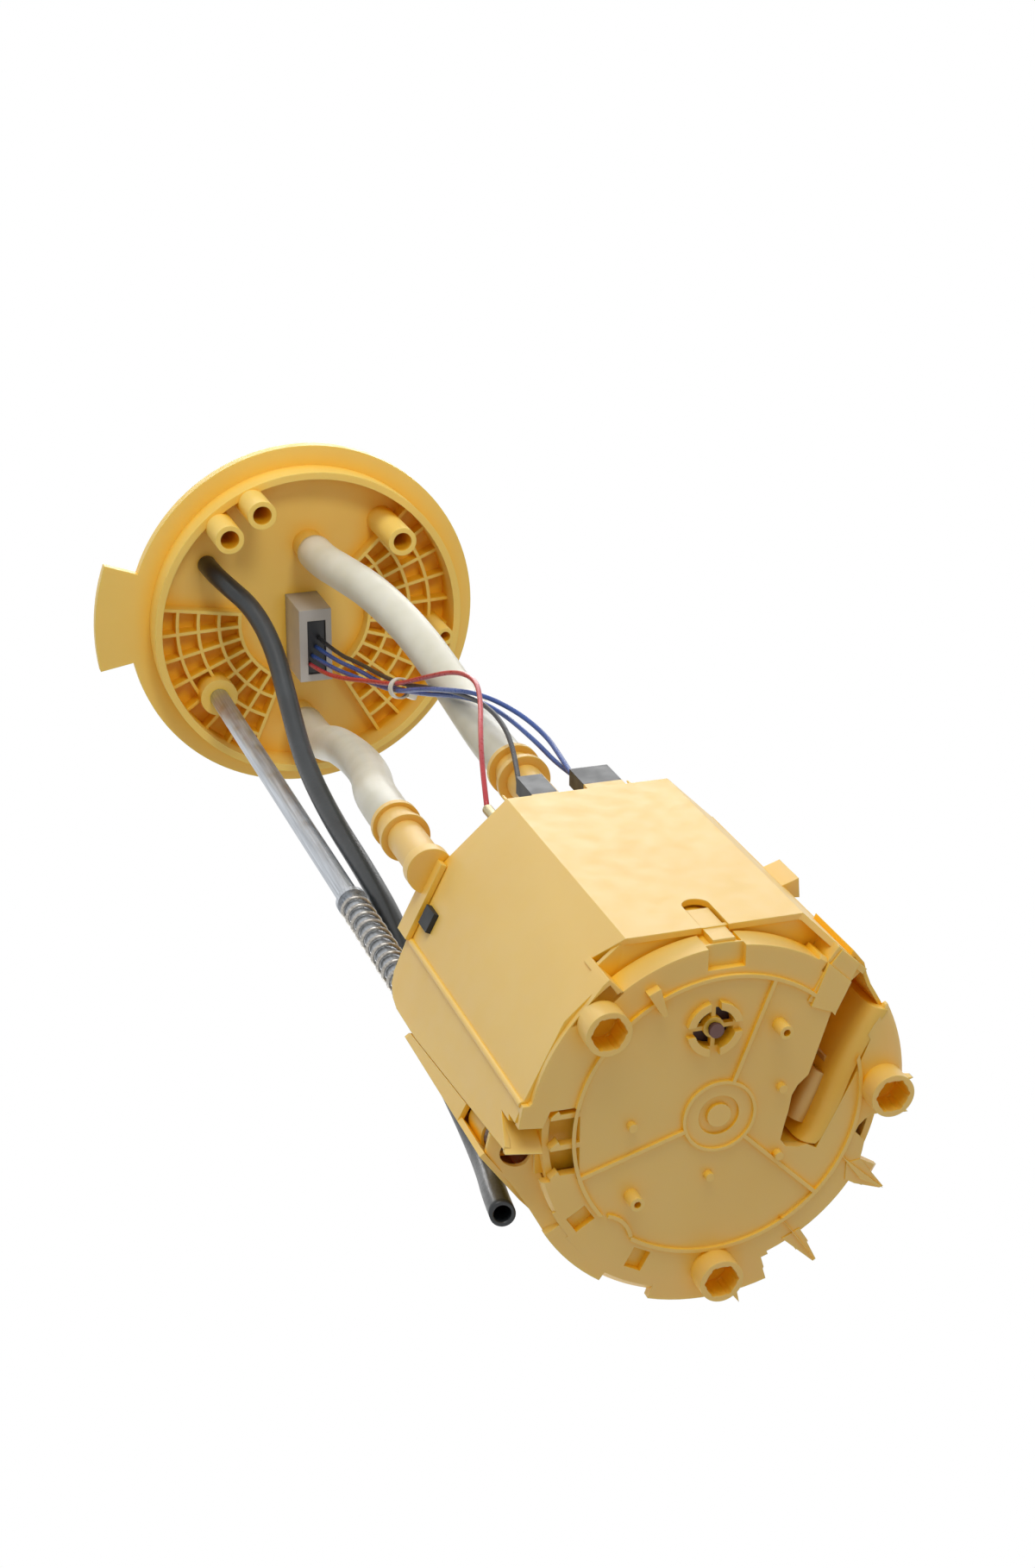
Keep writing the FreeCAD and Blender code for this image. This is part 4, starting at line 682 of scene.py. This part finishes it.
for pieceName, settings in wireSettings.items():
    wire = sweep(pieceName, routeLine(settings["route"]), settings["finish"], (wireRadius,),
                 wireAround)
    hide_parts(settings["node"])
    shorten(wire)
print("wires")

# Wire is the wire's thickness, low and high are the heights of its first and last turn
springSettings = {"x": -39.9, "y": 30.0, "radius": 4.9, "wire": 1.4, "turns": 24.0,
                  "low": -379.2, "high": -223.8, "pointsPerTurn": 28, "around": 12}


# The coil as a Geometry Nodes tree: a spiral curve swept by a round section
def buildSpring(settings):
    tree = bpy.data.node_groups.new("coilSpring", "GeometryNodeTree")
    tree.interface.new_socket("Geometry", in_out="OUTPUT", socket_type="NodeSocketGeometry")
    sizes = {"Radius": settings["radius"] * milli, "Wire Radius": settings["wire"] / 2 * milli,
             "Turns": settings["turns"], "Height": (settings["high"] - settings["low"]) * milli}
    for name in sizes:
        tree.interface.new_socket(name, in_out="INPUT", socket_type="NodeSocketFloat")
    start = addNode(tree, "NodeGroupInput")
    end = addNode(tree, "NodeGroupOutput")
    spiral = addNode(tree, "GeometryNodeCurveSpiral", {
        "Resolution": settings["pointsPerTurn"], "Rotations": start.outputs["Turns"],
        "Start Radius": start.outputs["Radius"], "End Radius": start.outputs["Radius"],
        "Height": start.outputs["Height"]})
    section = addNode(tree, "GeometryNodeCurvePrimitiveCircle", {
        "Resolution": settings["around"], "Radius": start.outputs["Wire Radius"]})
    skin = addNode(tree, "GeometryNodeCurveToMesh", {
        "Curve": spiral.outputs[0], "Profile Curve": section.outputs[0], "Fill Caps": True})
    smooth = addNode(tree, "GeometryNodeSetShadeSmooth", {"Geometry": skin.outputs[0]})
    real = addNode(tree, "GeometryNodeRealizeInstances", {"Geometry": smooth.outputs[0]})
    paint = addNode(tree, "GeometryNodeSetMaterial", {"Geometry": real.outputs[0]})
    paint.inputs["Material"].default_value = finishes["springSteel"]
    tree.links.new(paint.outputs[0], end.inputs[0])
    holder = linkedObject("holder", bpy.data.meshes.new("holder"))
    modifier = holder.modifiers.new("coil", "NODES")
    modifier.node_group = tree
    for item in tree.interface.items_tree:
        if item.in_out == "INPUT":
            modifier[item.identifier] = sizes[item.name]
    mesh = evaluatedMesh(holder)
    bpy.data.objects.remove(holder)
    mesh.transform(Matrix.Translation((settings["x"] * milli, settings["y"] * milli,
                                       settings["low"] * milli)))
    return newObject("coilSpring", mesh, "springSteel")


spring = buildSpring(springSettings)
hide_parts("coil_spring")
shorten(spring)
print("spring")

# The tie rides on the flange, like the wires it holds
tie = newObject("cableTie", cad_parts["cable_tie"].data.copy(), "naturalTie")
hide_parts("cable_tie")
shorten(tie)
print("cable tie")


# Stage, lamps and camera

# Pale matt floor that is seen only from above, so that a camera under the object looks past it
def floorMaterial():
    material = bpy.data.materials.new("paleFloor")
    material.use_nodes = True
    tree = material.node_tree
    shader = tree.nodes["Principled BSDF"]
    shader.inputs["Base Color"].default_value = colour("#F4F3F0")
    shader.inputs["Roughness"].default_value = 0.8
    speck = addNode(tree, "ShaderNodeTexNoise", {"Scale": perMillimetres(40)})
    unevenGloss(tree, shader, speck.outputs[0], 0.74, 0.86)
    clear = addNode(tree, "ShaderNodeBsdfTransparent")
    side = addNode(tree, "ShaderNodeNewGeometry")
    mixed = addNode(tree, "ShaderNodeMixShader", {
        0: side.outputs["Backfacing"], 1: shader.outputs[0], 2: clear.outputs[0]})
    tree.links.new(mixed.outputs[0], tree.nodes["Material Output"].inputs["Surface"])
    return material


stageSettings = {"reach": 3.0, "level": -0.4225}     # Metres, just under the three feet


def buildStage(settings):
    reach, level = settings["reach"], settings["level"]
    mesh = bpy.data.meshes.new("floor")
    mesh.from_pydata([(-reach, -reach, level), (reach, -reach, level), (reach, reach, level),
                      (-reach, reach, level)], [], [(0, 1, 2, 3)])
    mesh.materials.append(floorMaterial())
    floor = linkedObject("floor", mesh)
    # The floor touches the feet, so it would put the whole underside in the dark
    floor.visible_shadow = False
    floor.visible_diffuse = False
    floor.visible_glossy = False
    floor.visible_transmission = False


def addSun(name, towards, strength, spread):
    lamp = bpy.data.lights.new(name, "SUN")
    lamp.energy = strength
    lamp.angle = math.radians(spread)
    holder = linkedObject(name, lamp)
    holder.rotation_euler = Vector(towards).to_track_quat("-Z", "Y").to_euler()


def addSpot(name, place, target, watts, cone):
    lamp = bpy.data.lights.new(name, "SPOT")
    lamp.energy = watts
    lamp.spot_size = math.radians(cone)
    lamp.spot_blend = 0.6
    lamp.shadow_soft_size = 0.08
    holder = linkedObject(name, lamp)
    aim = (Vector(target) - Vector(place)).to_track_quat("-Z", "Y")
    holder.matrix_world = Matrix.Translation(place) @ aim.to_matrix().to_4x4()


# Even pale surroundings that look white, a soft key from the photograph's top, and weak fills
def buildLight():
    world = bpy.data.worlds.new("studio")
    bpy.context.scene.world = world
    world.use_nodes = True
    tree = world.node_tree
    tree.nodes.clear()
    rays = addNode(tree, "ShaderNodeLightPath")
    fill = addNode(tree, "ShaderNodeBackground", {"Color": colour("#FFFDFA"), "Strength": 0.42})
    white = addNode(tree, "ShaderNodeBackground", {"Color": colour("#FFFFFF"), "Strength": 1.0})
    seen = addNode(tree, "ShaderNodeMath", {
        0: rays.outputs["Is Camera Ray"], 1: rays.outputs["Is Glossy Ray"]}, operation="MAXIMUM")
    seenThrough = addNode(tree, "ShaderNodeMath", {
        0: seen.outputs[0], 1: rays.outputs["Is Transmission Ray"]}, operation="MAXIMUM")
    mixed = addNode(tree, "ShaderNodeMixShader", {
        0: seenThrough.outputs[0], 1: fill.outputs[0], 2: white.outputs[0]})
    end = addNode(tree, "ShaderNodeOutputWorld")
    tree.links.new(mixed.outputs[0], end.inputs["Surface"])
    addSun("keyFromPhotoTop", (0.12, 1.0, 0.06), 1.34, 40)
    addSun("fillFromAbove", (-0.2, 0.15, -1.0), 1.4, 40)
    addSun("fillFromBehind", (0.3, -1.0, -0.2), 0.7, 40)
    addSpot("fillOnFlange", (0.0, -0.48, -0.5), (0, 0, 0), 4.5, 26)


# Solved from the photograph: place in metres, directions of its axes, and pixels of its frame
cameraSettings = {
    "place": (-0.2536, -0.3662, -1.0283), "right": (0.9471, -0.0065, -0.3208),
    "ahead": (0.2981, 0.3878, 0.8722),
    "focalPixels": 3000.0, "framePixels": 1818.0, "sensor": 36.0}


# The photograph's viewpoint: below the upright module, looking up its length
def buildCamera(settings):
    lens = bpy.data.cameras.new("photoCamera")
    lens.sensor_width = settings["sensor"]
    lens.lens = settings["focalPixels"] / settings["framePixels"] * settings["sensor"]
    lens.clip_start = 0.01
    camera = linkedObject("photoCamera", lens)
    ahead = Vector(settings["ahead"]).normalized()
    right = (Vector(settings["right"]) - ahead * ahead.dot(Vector(settings["right"]))).normalized()
    up = right.cross(ahead)
    turn = Matrix((right, up, -ahead)).transposed().to_4x4()
    camera.matrix_world = Matrix.Translation(settings["place"]) @ turn
    bpy.context.scene.camera = camera


buildStage(stageSettings)
buildLight()
buildCamera(cameraSettings)
bpy.context.scene.view_settings.view_transform = "Standard"
print("stage, lamps and camera")
